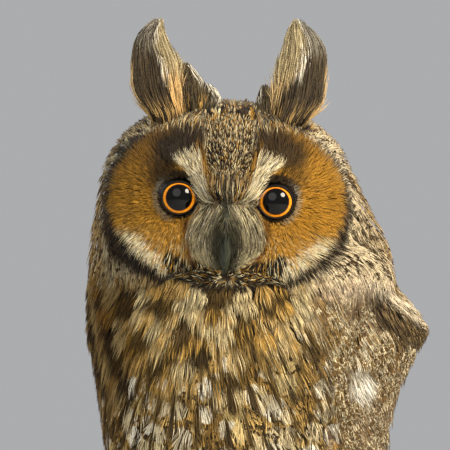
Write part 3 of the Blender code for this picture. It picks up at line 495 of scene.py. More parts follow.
def centre_lines(guide, roots, normals, lie, length, stations=5):
    """Centre lines from roots on the guide's surface, each as long as its length and lying as lie says."""
    shape = (len(roots), stations, 3)
    points, outs, ways = np.empty(shape), np.empty(shape), np.empty(shape)
    here, out = roots, normals
    for k in range(stations):
        way = lie(here)
        way = unit(way - out * (way * out).sum(-1, keepdims=True))
        points[:, k], outs[:, k], ways[:, k] = here, out, way
        if k < stations - 1:
            here, out = guide.nearest(here + way * (length / (stations - 1))[:, None])
    return points, outs, ways


def along_lines(lines, index, share):
    """Points, ways out and sides at shares (m, k) of the lengths of the lines numbered by index (m)."""
    points, outs, ways = lines
    last = points.shape[1] - 1
    place = np.clip(share, 0.0, 1.0) * last
    low = np.minimum(place.astype(int), last - 1)
    part = (place - low)[..., None]
    rows = index[:, None]
    point = points[rows, low] * (1.0 - part) + points[rows, low + 1] * part
    out = unit(outs[rows, low] * (1.0 - part) + outs[rows, low + 1] * part)
    way = ways[rows, low] * (1.0 - part) + ways[rows, low + 1] * part
    return point, out, unit(np.cross(way, out))


def feather_outline(v):
    """A contour feather's half width at a share of its length: narrow root, full vane, round tip."""
    return np.clip(v / 0.45, 0.25, 1.0) ** 0.6 * np.sqrt(np.clip(1.0 - ((v - 0.62) / 0.42) ** 2, 0.04, 1.0))


def barbs_on(lines, length, width, count, depth, proud, reach, ragged=0.05, loose=0.25, fan=0.55):
    """Barbs strewn over feathers: their points, ways out, and places u across and v along.

    Each feather's root is sunk by its depth, and its tip stands proud of the surface. The reach is a
    barb's share of its feather's length, and the fan is how far the barbs spread from the shaft.
    """
    n = len(length)
    index = np.repeat(np.arange(n), count)
    m = len(index)
    across = chance.uniform(-1.0, 1.0, m)
    tip = 1.0 - 0.15 * across**2 + chance.normal(0.0, ragged, m)
    fan, reach, loose = (np.broadcast_to(value, (n,))[index] for value in (fan, reach, loose))
    fan = fan[:, None]
    span = reach * chance.uniform(0.7, 1.2, m)
    start = np.clip(tip - span - chance.random(m) * (tip - span) * 0.9, 0.0, None)
    t = np.linspace(0.0, 1.0, 3)[None, :]
    v = start[:, None] + span[:, None] * t
    spread = 1.0 - fan + fan * t**0.8
    u = across[:, None] * spread
    place_v = np.clip(v, 0.0, 1.0)
    point, out, side = along_lines(lines, index, place_v)
    half = (width[index] / 2.0)[:, None] * feather_outline(np.clip(v, 0.0, 0.97))
    over = (v - place_v) * length[index][:, None]
    depth = np.broadcast_to(depth, (n,))[index][:, None]
    proud = np.broadcast_to(proud, (n,))[index][:, None]
    rise = -depth * (1.0 - place_v) ** 1.2 + proud * place_v
    rise = rise - 0.10 * half * u**2 + (loose * chance.normal(0.0, 1.0, m))[:, None] * (0.3 + 0.7 * t)
    along = unit(np.cross(out, side))
    point = point + side * (u * half)[..., None] + out * rise[..., None] + along * over[..., None]
    return {"point": point, "out": out, "index": index, "u": u, "v": v, "t": np.broadcast_to(t, v.shape)}


# How broad a barb is at its root, in mm: the finest on the face
BARB_BREADTH = {"face": 0.30, "head": 0.45, "body": 0.42, "wing": 0.45, "leg": 0.42, "ear_tuft": 0.35}
# A strand's breadth at these shares of its length, and its sides' places on the bake map
STRAND_SHARES = (0.0, 0.4, 0.75, 1.0)
STRAND_TAPER = (1.0, 0.92, 0.62, 0.45)
PATCH_SIZE = 0.003


def strand_faces(k):
    """Triangles of a strand with k rings of three points and one tip, and their corners on its patch."""
    uv = [(side / 2.0, j / k) for j in range(k) for side in range(3)] + [(0.5, 1.0)]
    faces = []
    for j in range(k - 1):
        for i in range(3):
            n = (i + 1) % 3
            a, b, c, d = 3 * j + i, 3 * j + n, 3 * j + 3 + n, 3 * j + 3 + i
            faces += [(a, b, c), (a, c, d)]
    faces += [(3 * (k - 1) + i, 3 * (k - 1) + (i + 1) % 3, 3 * k) for i in range(3)]
    corners = [[uv[p] for p in face] for face in faces]
    faces.append((2, 1, 0))
    corners.append([(1.0, 0.0), (0.5, -0.2), (0.0, 0.0)])
    return np.array(faces), np.array(corners)


def strand_mesh(name, barbs, breadth, colours, flecks, places, finish):
    """Closed tapering strands of three sides, as one mesh, with their colours and bake patches."""
    point, out = barbs["point"], barbs["out"]
    m, k = point.shape[0], point.shape[1] - 1
    ahead = np.empty((m, k, 3))
    ahead[:, 0] = point[:, 1] - point[:, 0]
    for j in range(1, k):
        ahead[:, j] = point[:, j + 1] - point[:, j - 1]
    base, way_out = point[:, :k], out[:, :k]
    side = unit(np.cross(ahead, way_out))
    taper = np.interp(np.arange(k) / k, STRAND_SHARES, STRAND_TAPER)[None, :, None]
    half = np.broadcast_to(breadth, (m,))[:, None, None] / 2.0 * taper
    ring = np.stack((base - side * half, base + way_out * half * 0.9, base + side * half), 2)
    points = np.concatenate((ring.reshape(m, 3 * k, 3), point[:, k:]), 1)
    template, corners = strand_faces(k)
    faces = (template[None] + (np.arange(m) * (3 * k + 1))[:, None, None]).reshape(-1, 3)
    obj = new_object(name, points.reshape(-1, 3), faces, finish)
    for layer, values in (("coat", colours), ("fleck", flecks)):
        ringed = np.concatenate((np.repeat(values[:, :k], 3, 1), values[:, k:]), 1)
        paint(obj.data, layer, ringed.reshape(-1, values.shape[-1]))
    set_map(obj.data, "OFBake", places[:, None, None, :] + (corners[None] - 0.5) * PATCH_SIZE)
    return obj


def round_body(points):
    """Places on an unwrap of the body: round its axis, and up it."""
    angle = np.arctan2(points[..., 0], -(points[..., 1] - 10.0))
    return np.stack((0.5 + angle / (2.0 * math.pi) * 0.97, 0.02 + points[..., 2] / 420.0), -1)


def round_head(points):
    """Places on an unwrap of the head: the face in the middle, and the nape round the edge."""
    local = to_head(points) - np.array((0.0, FACE_AHEAD, -5.0))
    way = unit(local)
    turn = np.arccos(np.clip(-way[..., 1], -1.0, 1.0)) / math.pi * 0.48
    flat = np.maximum(np.hypot(way[..., 0], way[..., 2]), 1e-6)
    return np.stack((0.5 + turn * way[..., 0] / flat, 0.5 + turn * way[..., 2] / flat), -1)


# The wings and the tail

SECONDARY_LINES = (((149.0, 232.0), (70.0, 226.0)), ((170.0, 140.0), (134.0, 100.0)), 8.0)
PRIMARY_LINES = (((88.0, 226.0), (60.0, 190.0)), ((169.0, 92.0), (136.0, 60.0)), 16.0)
# Each row of long feathers: its lines, how many, width, from and to along the line, and height over the bed
WING_ROWS = (
    ("primaries", PRIMARY_LINES, 10, 15.0, 0.0, 1.0, 3.4),
    ("secondaries", SECONDARY_LINES, 12, 19.0, 0.0, 1.0, 6.6),
    ("greater_coverts", SECONDARY_LINES, 13, 17.0, -0.12, 0.40, 8.8),
    ("median_coverts", SECONDARY_LINES, 13, 15.0, -0.32, 0.12, 10.6),
)
SHINGLE_STEP = 1.5
VANE_THICK = 0.3
ROOT_LIFT = 3.0
MIDLINE_ANGLES = (177.0, 167.0)
MIRROR = np.array((-1.0, 1.0, 1.0))
# How far apart the feathers' stretches of the vane map are, in mm
MAP_STEP = 200.0
# A vane's patch on the bake map, and how far beside it the underside's patch lies
VANE_PATCH = np.array((0.014, 0.10))
UNDERSIDE_PATCH = np.array((0.016, 0.0))


def feather_line(row, across, share):
    """The angle and height at a share of the length of the feather at this place, 0 to 1, in its row."""
    roots, tips, drop = row
    across, share = np.broadcast_arrays(np.asarray(across, float), np.asarray(share, float))
    root_angle = roots[0][0] + (roots[1][0] - roots[0][0]) * across
    root_height = roots[0][1] + (roots[1][1] - roots[0][1]) * across
    tip_angle = tips[0][0] + (tips[1][0] - tips[0][0]) * across
    tip_height = tips[0][1] + (tips[1][1] - tips[0][1]) * across
    fall = drop * np.sin(math.pi * np.clip(across, -0.2, 1.2) * 0.8)
    bow = 0.6 * share + 0.4 * share * np.abs(share)
    angle = root_angle + (tip_angle - root_angle) * bow
    height = root_height + (tip_height - fall - root_height) * share
    limit = MIDLINE_ANGLES[0] + (MIDLINE_ANGLES[1] - MIDLINE_ANGLES[0]) * smoothstep(120.0, 160.0, height)
    return np.minimum(angle, limit), height


def vane_half_width(v):
    """A flight feather's half width: narrow at the root, parallel, and rounded at the tip."""
    return np.interp(v, (0.0, 0.12, 0.4, 0.7), (0.35, 0.75, 1.0, 1.0)) * np.clip(
        1.0 - np.clip((v - 0.72) / 0.29, 0.0, 1.0) ** 2.6, 0.02, 1.0
    ) ** 0.5


def vane_mesh(name, top, out, map_mm, places, finish, ground, fleck):
    """Closed vanes from grids of points (n, stations, across), with their maps and colours."""
    n, down, wide = top.shape[:3]
    count = down * wide

    def doubled(values):
        """The values of each vane's upper side, and the same again for its underside."""
        values = values.reshape(n, count, -1)
        return np.concatenate((values, values), 1)

    points = np.concatenate((top.reshape(n, -1, 3), (top - out * VANE_THICK).reshape(n, -1, 3)), 1)
    template = closed_sheet(down, wide)
    faces = (template[None] + (np.arange(n) * 2 * count)[:, None, None]).reshape(-1, 4)
    obj = new_object(name, points.reshape(-1, 3), faces, finish)
    paint(obj.data, "coat", doubled(ground))
    paint(obj.data, "fleck", doubled(fleck))
    set_map(obj.data, "vane", doubled(map_mm)[:, template.ravel()])
    shares = np.meshgrid(np.linspace(0.0, 1.0, wide), np.linspace(0.0, 1.0, down))
    share = np.stack(shares, -1).reshape(count, 2)
    upper = share * VANE_PATCH
    patch = np.vstack((upper, upper + UNDERSIDE_PATCH))[template.ravel()]
    set_map(obj.data, "OFBake", places[:, None, :] + patch[None])
    return obj


def wing_vanes(row, lines, count, width, start, end, lift, out, side):
    """One row of a wing's feathers: points, ways out, and each point's place across and along in mm."""
    stations, columns = (44, 11) if end == 1.0 else (22, 9)
    v = np.linspace(0.0, 1.0, stations)[None, :, None]
    u = np.linspace(-1.0, 1.0, columns)[None, None, :]
    place = np.linspace(0.0, 1.0, count)[:, None, None]
    share = start + (end - start) * v

    def at(across, here, rise):
        angle, height = feather_line(lines, across, here)
        return on_bed(height, angle, rise + shoulder_lift(angle, height, out))

    step = 0.5 / (count - 1)
    apart = at(place + step, share, 0.0 * v) - at(place - step, share, 0.0 * v)
    along = at(place, share + 0.01, 0.0 * v) - at(place, share - 0.01, 0.0 * v)
    along = unit(along)
    apart = np.linalg.norm(apart - along * (apart * along).sum(-1, keepdims=True), axis=-1)
    ragged = 1.0 + 0.02 * np.sin(37.0 * v + 11.0 * place * count)
    ragged = ragged + chance.normal(0.0, 0.012, (count, stations, 1))
    widest = 1.9 if row == "primaries" else 1.6
    half = np.minimum(width / 2.0 / apart, widest) * vane_half_width(v) * ragged
    across = place + u * half * 2.0 * step
    here = ROOT_LIFT + (lift - ROOT_LIFT) * smoothstep(0.0, 0.3, v)
    # The web droops from its shaft to both edges, and each front edge lies over the one before it
    rise = here + SHINGLE_STEP * half * u * 0.5 - 0.35 * (u * half) ** 2 + 0.35 * np.exp(-((u / 0.08) ** 2))
    points = at(across, share, rise)
    angle, height = feather_line(lines, across, share)
    outs = bed_normal(height, angle)
    length = np.linalg.norm(np.diff(points[:, :, columns // 2], axis=1), axis=-1).sum(1)
    # Each feather has its own stretch of the map, and its bars a little out of step with the next one's
    stretch = chance.uniform(0.93, 1.07, (count, 1, 1))
    slip = chance.uniform(-2.2, 2.2, (count, 1, 1))
    first = MAP_STEP * np.arange(count)[:, None, None]
    long = v * length[:, None, None] * stretch + slip + first + 0.0 * u
    map_mm = np.stack((u * half * apart + 0.0 * v, long), -1) / 100.0
    if side < 0:
        points, outs, map_mm = (values[:, :, ::-1] for values in (points * MIRROR, outs * MIRROR, map_mm))
    return points, outs, map_mm, v + 0.0 * u + 0.0 * place, u * np.ones_like(v) + 0.0 * place


TAIL_ROOT = np.array((0.0, 52.0, 150.0))
TAIL_TIP = np.array((0.0, 93.0, 27.0))


def tail_vanes():
    """The tail's twelve feathers: the middle pair uppermost, each pair outside it lower and shorter."""
    length = np.linalg.norm(TAIL_TIP - TAIL_ROOT)
    along = (TAIL_TIP - TAIL_ROOT) / length
    across = np.array((1.0, 0.0, 0.0))
    face = np.cross(across, along)
    face = face if face[1] > 0 else -face
    stations, columns = 44, 11
    v = np.linspace(0.12, 1.0, stations)[:, None]
    u = np.linspace(-1.0, 1.0, columns)[None, :]
    grids, maps = [], []
    for pair in range(6):
        for side in (-1, 1):
            level = 5 - pair + (1 if pair == 0 and side > 0 else 0)
            centre = (1.4 + 2.6 * pair) * (0.35 + 0.65 * v)
            half = 10.5 * vane_half_width((v - 0.12) / 0.88)
            over = centre + u * half * (1.0 + chance.normal(0.0, 0.01, (stations, 1)))
            if pair:
                over = np.maximum(over, 0.35 + 0.02 * (u + 1.0))
            rise = level * 0.87 - 2.5 - 0.5 * u**2 + 0.3 * np.exp(-((u / 0.08) ** 2))
            middle = TAIL_ROOT + along * ((length - 1.8 * pair) * v)[..., None]
            points = middle + across * (side * over)[..., None] + face * rise[..., None]
            along_map = v * length + MAP_STEP * (2 * pair + (side > 0)) + 0.0 * u
            place = np.stack((side * (over - centre), along_map), -1)
            if side > 0:
                points, place = points[:, ::-1], place[:, ::-1]
            grids.append(points)
            maps.append(place / 100.0)
    points = np.stack(grids)
    return points, np.broadcast_to(face, points.shape), np.stack(maps), np.broadcast_to(v, points.shape[:-1])


# Materials


SHAFT_BROWN = shade_of("42301F")
FLECK_SIZE = 1.1


def new_material(name):
    made = bpy.data.materials.new(name)
    made.use_nodes = True
    return made, made.node_tree


def add(tree, kind, settings=None, links=None):
    """Adds a node, sets its values by socket or property name, and links sockets to it."""
    node = tree.nodes.new("ShaderNode" + kind)
    for key, value in (settings or {}).items():
        if isinstance(key, int) or key in node.inputs:
            node.inputs[key].default_value = value
        else:
            setattr(node, key, value)
    for key, source in (links or {}).items():
        tree.links.new(source, node.inputs[key])
    return node


def set_surface(tree, values):
    """Sets the surface's inputs by name, each to a value or to a socket."""
    shader = tree.nodes["Principled BSDF"]
    for name, value in values.items():
        if isinstance(value, bpy.types.NodeSocket):
            tree.links.new(value, shader.inputs[name])
        else:
            shader.inputs[name].default_value = value


def painted(tree, name):
    """The colour and the alpha that are painted on the mesh under this name."""
    outputs = add(tree, "Attribute", {"attribute_name": name}).outputs
    return outputs["Color"], outputs["Alpha"]


def object_place(tree):
    return add(tree, "TexCoord").outputs["Object"]


def scaled_place(tree, place, scale):
    return add(tree, "Mapping", {"Scale": scale}, {"Vector": place}).outputs[0]


def noise(tree, place, scale, detail, **more):
    return add(tree, "TexNoise", {"Scale": scale, "Detail": detail} | more, {"Vector": place}).outputs["Fac"]


def ranged(tree, value, start, end, low=0.0, high=1.0, curve="LINEAR"):
    """The value's run from start to end, turned to a run from low to high."""
    settings = {"From Min": start, "From Max": end, "To Min": low, "To Max": high}
    settings["interpolation_type"] = curve
    return add(tree, "MapRange", settings, {"Value": value}).outputs["Result"]


def maths(tree, operation, *values):
    """Arithmetic on plain numbers and sockets."""
    numbers = {k: value for k, value in enumerate(values) if isinstance(value, float)}
    sockets = {k: value for k, value in enumerate(values) if k not in numbers}
    return add(tree, "Math", {"operation": operation} | numbers, sockets).outputs[0]


def blend(tree, share, first, second):
    """Two colours by the second's share, each a socket or a colour of linear light."""
    settings, links = {"data_type": "RGBA"}, {0: share}
    for socket, colour in ((6, first), (7, second)):
        if isinstance(colour, bpy.types.NodeSocket):
            links[socket] = colour
        else:
            settings[socket] = (*colour, 1.0)
    return add(tree, "Mix", settings, links).outputs[2]


def toned(tree, colour, tone):
    """The colour, made darker or lighter by the tone."""
    scaled = add(tree, "VectorMath", {"operation": "SCALE"}, {"Vector": colour, "Scale": tone})
    return scaled.outputs["Vector"]


def relief(tree, height, strength, depth):
    """Fine relief in the surface, its depth in millimetres."""
    settings = {"Strength": strength, "Distance": depth * MM}
    return add(tree, "Bump", settings, {"Height": height}).outputs["Normal"]


def fleck_mask(tree, flecks, amount):
    """Where the noise of flecks is over one less the amount."""
    gap = maths(tree, "SUBTRACT", flecks, maths(tree, "SUBTRACT", 1.0, amount))
    return ranged(tree, gap, -0.03, 0.03, curve="SMOOTHSTEP")


def feather_material(name, roughness=0.72, fine=0.45):
    """Feather: the painted colour, a second colour in flecks of a few tenths of a millimetre, and barbs."""
    made, tree = new_material(name)
    (base, plain), (fleck, amount) = painted(tree, "coat"), painted(tree, "fleck")
    place = object_place(tree)
    flecks = noise(tree, place, 1000.0 / FLECK_SIZE / 2.0, 1.5, Roughness=0.6)
    mask = fleck_mask(tree, flecks, amount)
    # Where the amount is over 0.6 the flecks become thin worm-like lines
    worms = ranged(tree, maths(tree, "ABSOLUTE", maths(tree, "SUBTRACT", flecks, 0.5)), 0.045, 0.022)
    as_worms = ranged(tree, amount, 0.58, 0.66)
    marks = add(tree, "Mix", {"data_type": "FLOAT"}, {0: as_worms, 2: mask, 3: worms}).outputs[0]
    colour = blend(tree, marks, base, fleck)
    # Round pale spots 8 mm apart, where the painted colour's alpha is low, with torn edges
    cells = add(tree, "TexVoronoi", {"Scale": 125.0, "Randomness": 0.8}, {"Vector": place}).outputs
    torn = maths(tree, "MULTIPLY_ADD", flecks, 0.55, cells["Distance"])
    spots = maths(tree, "MULTIPLY", ranged(tree, torn, 0.86, 0.80), ranged(tree, plain, 0.75, 0.35))
    chances = add(tree, "SeparateColor", None, {0: cells["Color"]}).outputs[0]
    colour = blend(tree, spots, colour, blend(tree, chances, shade_of("CDB579"), shade_of("EDE7D4")))
    # Hair-fine streaks of light and dark, half a millimetre from one to the next
    streaks = noise(tree, place, 1000.0 / 0.5, 1.0)
    tone = ranged(tree, streaks, 0.3, 0.7, 1.0 - fine / 2.0, 1.0 + fine / 2.0)
    surface = {"Base Color": toned(tree, colour, tone), "Roughness": roughness, "Specular IOR Level": 0.12}
    set_surface(tree, surface | {"Sheen Weight": 0.04, "Sheen Roughness": 0.5})
    return made


def vane_material(name, period=9.0, share=0.42, ragged=1.4):
    """Flight feather: bars across its ground colour, fine flecks, slanting barbs and a brown shaft."""
    made, tree = new_material(name)
    (ground, _), (fleck, amount) = painted(tree, "coat"), painted(tree, "fleck")
    # The map is in tenths of a metre: across from the shaft, and along from the root
    vane_map = add(tree, "UVMap", {"uv_map": "vane"}).outputs["UV"]
    in_mm = add(tree, "VectorMath", {"operation": "SCALE", "Scale": 100.0}, {"Vector": vane_map}).outputs[0]
    across, along = add(tree, "SeparateXYZ", None, {0: in_mm}).outputs[:2]
    away = maths(tree, "ABSOLUTE", across)
    wobble = noise(tree, in_mm, 0.35, 3.0, Roughness=0.65)
    shifted = maths(tree, "MULTIPLY_ADD", wobble, ragged * 4.0, along)
    slanted = maths(tree, "MULTIPLY_ADD", away, 0.35, shifted)
    wave = maths(tree, "SINE", maths(tree, "MULTIPLY", slanted, 2.0 * math.pi / period))
    edge = math.cos(math.pi * share)
    bars = ranged(tree, wave, edge - 0.12, edge + 0.12, curve="SMOOTHSTEP")
    flat = scaled_place(tree, in_mm, (1.0, 2.4, 1.0))
    flecks = noise(tree, flat, 0.75, 3.0, Roughness=0.7, Distortion=0.6)
    colour = blend(tree, bars, ground, fleck)
    colour = blend(tree, fleck_mask(tree, flecks, amount), colour, fleck)
    # Pale flecks break up the dark bars
    colour = blend(tree, ranged(tree, flecks, 0.36, 0.30, high=0.8), colour, ground)
    # Barbs: hair-fine lines that run outwards and tipwards from the shaft
    slope = maths(tree, "MULTIPLY_ADD", away, -1.1, along)
    lines = {"noise_dimensions": "1D", "Scale": 2.6, "Detail": 2.0}
    barbs = add(tree, "TexNoise", lines, {"W": slope}).outputs["Fac"]
    colour = toned(tree, colour, ranged(tree, barbs, 0.3, 0.7, 0.78, 1.2))
    colour = blend(tree, ranged(tree, away, 0.55, 0.3), colour, SHAFT_BROWN)
    surface = {"Base Color": colour, "Roughness": 0.6, "Specular IOR Level": 0.3, "Sheen Weight": 0.1}
    set_surface(tree, surface | {"Normal": relief(tree, barbs, 0.35, 0.2)})
    return made


# The head's markings, and the way that feathers lie

BLACK = shade_of("1A150F")
DARK = shade_of("2E2419")
BROWN = shade_of("4E3A24")
RUST = shade_of("7A4A1E")
BUFF = shade_of("AE7D1F")
GOLD = shade_of("CC9836")
CREAM = shade_of("E2D6AC")
PALE = shade_of("E9E1CB")
GREY = shade_of("A59C86")
SAND = shade_of("C9B48A")


def gap_to_line(x, z, start, end):
    """The gap from points to a straight line, and the share of the line's length where it is least."""
    start, end = np.array(start), np.array(end)
    run = end - start
    share = np.clip(((x - start[0]) * run[0] + (z - start[1]) * run[1]) / (run @ run), 0.0, 1.0)
    return np.hypot(x - start[0] - run[0] * share, z - start[1] - run[1] * share), share


def picked(colours, weights, draw):
    """One of the colours for each draw from 0 to 1, in the proportions of the weights."""
    limits = np.cumsum(weights) / np.sum(weights)
    return np.array(colours)[np.minimum(np.searchsorted(limits, draw), len(colours) - 1)]


# Stations of the face's lines: height over the eyes, and distance from the middle
FAN_EDGE = (
    (-27.5, 3.0), (-24.0, 7.8), (-20.3, 11.4), (-16.6, 13.0), (-13.0, 13.4),
    (-9.3, 12.9), (-5.7, 11.8), (-2.0, 10.2), (1.0, 8.5),
)
BROW_INNER = ((-1.5, 5.2), (2.4, 6.2), (6.0, 7.6), (10.4, 9.0), (15.5, 10.0), (18.0, 11.2))
BROW_OUTER = (
    (-1.5, 10.0), (1.3, 11.0), (5.2, 13.0), (9.0, 15.0),
    (11.2, 17.4), (13.4, 20.0), (16.0, 17.0), (17.8, 11.0),
)


def fan_edge(z):
    """How far out the pale bristles beside the bill reach."""
    return np.interp(z, *np.array(FAN_EDGE).T)


def brow_edges(z):
    """Where the brow begins and ends, outwards from the middle of the face."""
    return np.interp(z, *np.array(BROW_INNER).T), np.interp(z, *np.array(BROW_OUTER).T)


def head_colours(points, draw, other):
    """The head's markings, with painted light and shade, at points of the model, where draw and other are
    each barb's own chances.
    """
    local = to_head(points)
    x, y, z = local[..., 0], local[..., 1], local[..., 2]
    side = np.abs(x)
    draw = np.broadcast_to(draw, x.shape)
    other = np.broadcast_to(other, x.shape)
    jag = (draw - 0.5) * 2.4
    edge = np.hypot(x / DISC_HALF_WIDTH, (z + 0.5) / DISC_HALF_HEIGHT)
    eye_gap = np.hypot(side - EYE_APART, z)
    # Golden-buff disc, browner above and paler below, with a few darker barbs among it; the brown above is
    # stronger on the owl's right as painted shade, away from the key light
    colour = mixed(BUFF, GOLD, np.clip(0.3 + 0.6 * smoothstep(2.0, -16.0, z) + 0.5 * (other - 0.5), 0.0, 1.0))
    brown_and_side_shade = np.interp(x, (-20.0, 20.0), (0.85, 0.4))
    colour = mixed(colour, "6E4F1F", brown_and_side_shade * smoothstep(3.0, 22.0, z + jag))
    colour = mixed(colour, "6B4A1C", 0.5 * (draw > 0.8) * smoothstep(1.0, 6.0, eye_gap - 8.0))
    colour = mixed(colour, CREAM, 0.5 * (other > 0.7) * smoothstep(-8.0, -18.0, z))
    # Painted shade: the disc darker towards the owl's right side, away from the key light
    colour = colour * np.interp(x, (-42.0, -5.0), (0.80, 1.0))[..., None]
    # Rust between the golden disc and the pale fans
    gap, _ = gap_to_line(side, z, (14.5, -9.0), (11.5, -21.0))
    colour = mixed(colour, RUST * 0.7, 0.8 * (1.0 - smoothstep(0.8, 3.2, gap + jag * 0.5)))
    # Dark soft patch round the top of the brow and down outside the eye, stronger and wider on the owl's
    # right as painted shade away from the key light, and painted shade in the eye's upper inner corner
    gap, _ = gap_to_line(side, z, (12.0, 23.0), (21.5, 16.5))
    dark = (1.0 - smoothstep(3.5, 9.5, gap + jag)) * np.interp(x, (-20.0, 20.0), (1.0, 0.9))
    gap, _ = gap_to_line(side, z, (21.5, 16.5), (24.5, 7.5))
    outer_dark, outer_reach = (np.interp(x, (-20.0, 20.0), ends) for ends in ((0.9, 0.6), (9.0, 6.0)))
    dark = np.maximum(dark, outer_dark * (1.0 - smoothstep(1.5, outer_reach, gap + jag)))
    # Painted shade: a dark strip in the upper inner corner of the eye, under the brow
    gap, _ = gap_to_line(side, z, (14.0, 8.0), (10.8, 0.5))
    dark = np.maximum(dark, 1.0 - smoothstep(0.8, 1.8, gap + jag * 0.3))
    dark = np.maximum(dark, 1.0 - smoothstep(7.0, 8.0, eye_gap - 2.2 * smoothstep(0.0, 6.0, z)))
    colour = mixed(colour, mixed(BLACK, BROWN, 0.4 * other), dark * 0.97)
    # Pale crescent outside and under the eye
    outward = np.degrees(np.arctan2(z, side - EYE_APART))
    crescent = 1.0 - smoothstep(0.5, 1.4, np.abs(eye_gap - 8.2))
    crescent = crescent * (1.0 - smoothstep(40.0, 70.0, np.abs(outward + 15.0)))
    colour = mixed(colour, GREY * 0.9, 0.6 * crescent)
    # Speckled forehead between the brows
    wide = np.interp(z, (-6.0, 2.0, 18.0, 27.0), (2.4, 6.4, 9.5, 11.5))
    wedge = (1.0 - smoothstep(-0.6, 0.6, side - wide + jag * 0.4)) * smoothstep(-7.0, -4.0, z)
    speckle = picked((BLACK, BROWN, SAND, CREAM, GOLD * 0.8), (0.42, 0.24, 0.17, 0.11, 0.06), draw)
    colour = mixed(colour, speckle, wedge)
    # Cream brows, which widen upwards and outwards
    inner, outer = brow_edges(z + jag * 0.5)
    brow = smoothstep(-0.5, 0.7, side - inner + jag * 0.4) * smoothstep(-0.5, 0.9, outer - side - jag * 0.9)
    brow = brow * smoothstep(-2.5, -0.5, z) * smoothstep(18.0, 16.0, z + jag)
    streaked = picked((CREAM, PALE, SAND, GREY, BROWN, BLACK), (0.32, 0.13, 0.20, 0.17, 0.12, 0.06), draw)
    colour = mixed(colour, streaked, brow)
    gold_edge, _ = gap_to_line(side, z, (4.6, 3.0), (11.5, 20.0))
    colour = mixed(colour, GOLD * 0.6, 0.6 * (1.0 - smoothstep(0.3, 1.3, gold_edge)) * (draw > 0.4))
    # Pale fans of bristles each side of the bill
    reach = fan_edge(z)
    fan = smoothstep(-0.6, 0.8, reach - side - jag * 0.5) * (z < 1.0) * smoothstep(-29.0, -27.0, z)
    shades = (PALE, CREAM, GREY, shade_of("6F674F"), BROWN, BLACK)
    bristle = picked(shades, (0.17, 0.25, 0.24, 0.15, 0.11, 0.08), draw)
    bristle = mixed(bristle, "8B8468", 0.35 * smoothstep(-8.0, 0.0, z))
    bristle = mixed(bristle, CREAM, 0.5 * smoothstep(5.0, 2.0, reach - side) * smoothstep(-15.0, -19.0, z))
    bristle = bristle * np.array((0.90, 0.87, 0.78))
    # Painted shade: the bristles darker and greener beside the bill and low down, where the bill shades them
    painted_bill_shade = (1.0 - smoothstep(3.0, 7.5, side)) * smoothstep(-6.0, -14.0, z)
    bristle = mixed(bristle, "34352A", 0.7 * painted_bill_shade)
    colour = mixed(colour, bristle, fan)
    # The dark ridge between the fans, from between the brows down over the bill
    stop_half = np.interp(z, (-24.0, -16.0, -8.0, 0.0, 5.0), (3.0, 5.0, 4.4, 2.8, 2.2))
    stop = (1.0 - smoothstep(0.5, 1.2, (side + jag * 0.3) / stop_half)) * smoothstep(6.0, 1.0, z)
    stop = stop * smoothstep(-28.0, -24.0, z) * (0.75 + 0.25 * draw)
    colour = mixed(colour, mixed("1B1A12", "3A3725", other), 0.95 * stop)
    # Rust at the fans' tops, and the grey ridge that runs down to the bill's root
    gap, _ = gap_to_line(side, z, (3.2, -0.5), (6.0, -3.2))
    colour = mixed(colour, "6B4A22", 0.7 * (1.0 - smoothstep(0.5, 1.5, gap + jag * 0.4)))
    ridge = (1.0 - smoothstep(1.4, 3.6, side + jag * 0.6)) * smoothstep(-8.0, -12.0, z)
    ridge = ridge * smoothstep(-31.0, -28.0, z)
    colour = mixed(colour, mixed("2E2F26", "54503A", other), ridge * 0.85)
    # Cream lower rim with ragged edges, then black and cream streaks under the bill
    below = smoothstep(-11.0, -15.0, z + jag * 0.6) * smoothstep(15.0, 18.5, side + jag)
    rim = below * smoothstep(0.82, 0.90, edge + jag * 0.03)
    rim = rim * (1.0 - smoothstep(0.99, 1.03, edge + jag * 0.02))
    colour = mixed(colour, picked((CREAM, PALE, GOLD), (0.6, 0.25, 0.15), draw), rim)
    gap, _ = gap_to_line(side, z, (20.0, -22.0), (1.0, -28.6))
    streaks = 1.0 - smoothstep(1.6, 2.8, gap + jag * 0.5)
    streaks = np.maximum(streaks, (z < 0.33 * side - 28.6) * (side < 21.0))
    streaks = streaks * (1.0 - 0.9 * fan * (side > 4.0))
    streak = picked((BLACK, DARK, CREAM, GOLD * 0.8), (0.46, 0.26, 0.14, 0.14), draw)
    colour = mixed(colour, streak, streaks * (z < -19.0))
    # Behind the disc: grey-brown flecks, with painted light making them pale on the owl's left, towards the
    # key light, and painted shade darkening them on its right
    behind = np.maximum(smoothstep(1.0, 1.03, edge + jag * 0.02), smoothstep(20.0, 24.0, y))
    flecked = picked((BROWN, SAND, CREAM, DARK, GREY), (0.22, 0.30, 0.22, 0.12, 0.14), other)
    flecked = mixed(flecked, "E8D6B2", 0.85 * smoothstep(14.0, 42.0, x) * (other > 0.16))
    flecked = mixed(flecked, "4A3F2A", 0.45 * smoothstep(-20.0, -44.0, x))
    colour = mixed(colour, flecked, behind)
    # The ruff: a dark rim, broad below, and a thin line above
    wide = np.interp(z, (-32.0, -22.0, -8.0, 5.0, 20.0), (0.14, 0.17, 0.13, 0.05, 0.03))
    wide = wide * np.interp(x, (-30.0, 30.0), (1.0, 0.45))
    ruff = smoothstep(1.0, 1.03, edge + jag * 0.02)
    ruff = ruff * (1.0 - smoothstep(0.0, 0.05, edge - 1.02 - wide + jag * 0.03))
    ruff = ruff * (1.0 - smoothstep(18.0, 24.0, y)) * (z < 22.0)
    colour = mixed(colour, picked((BLACK, DARK, BROWN), (0.5, 0.3, 0.2), other), ruff)
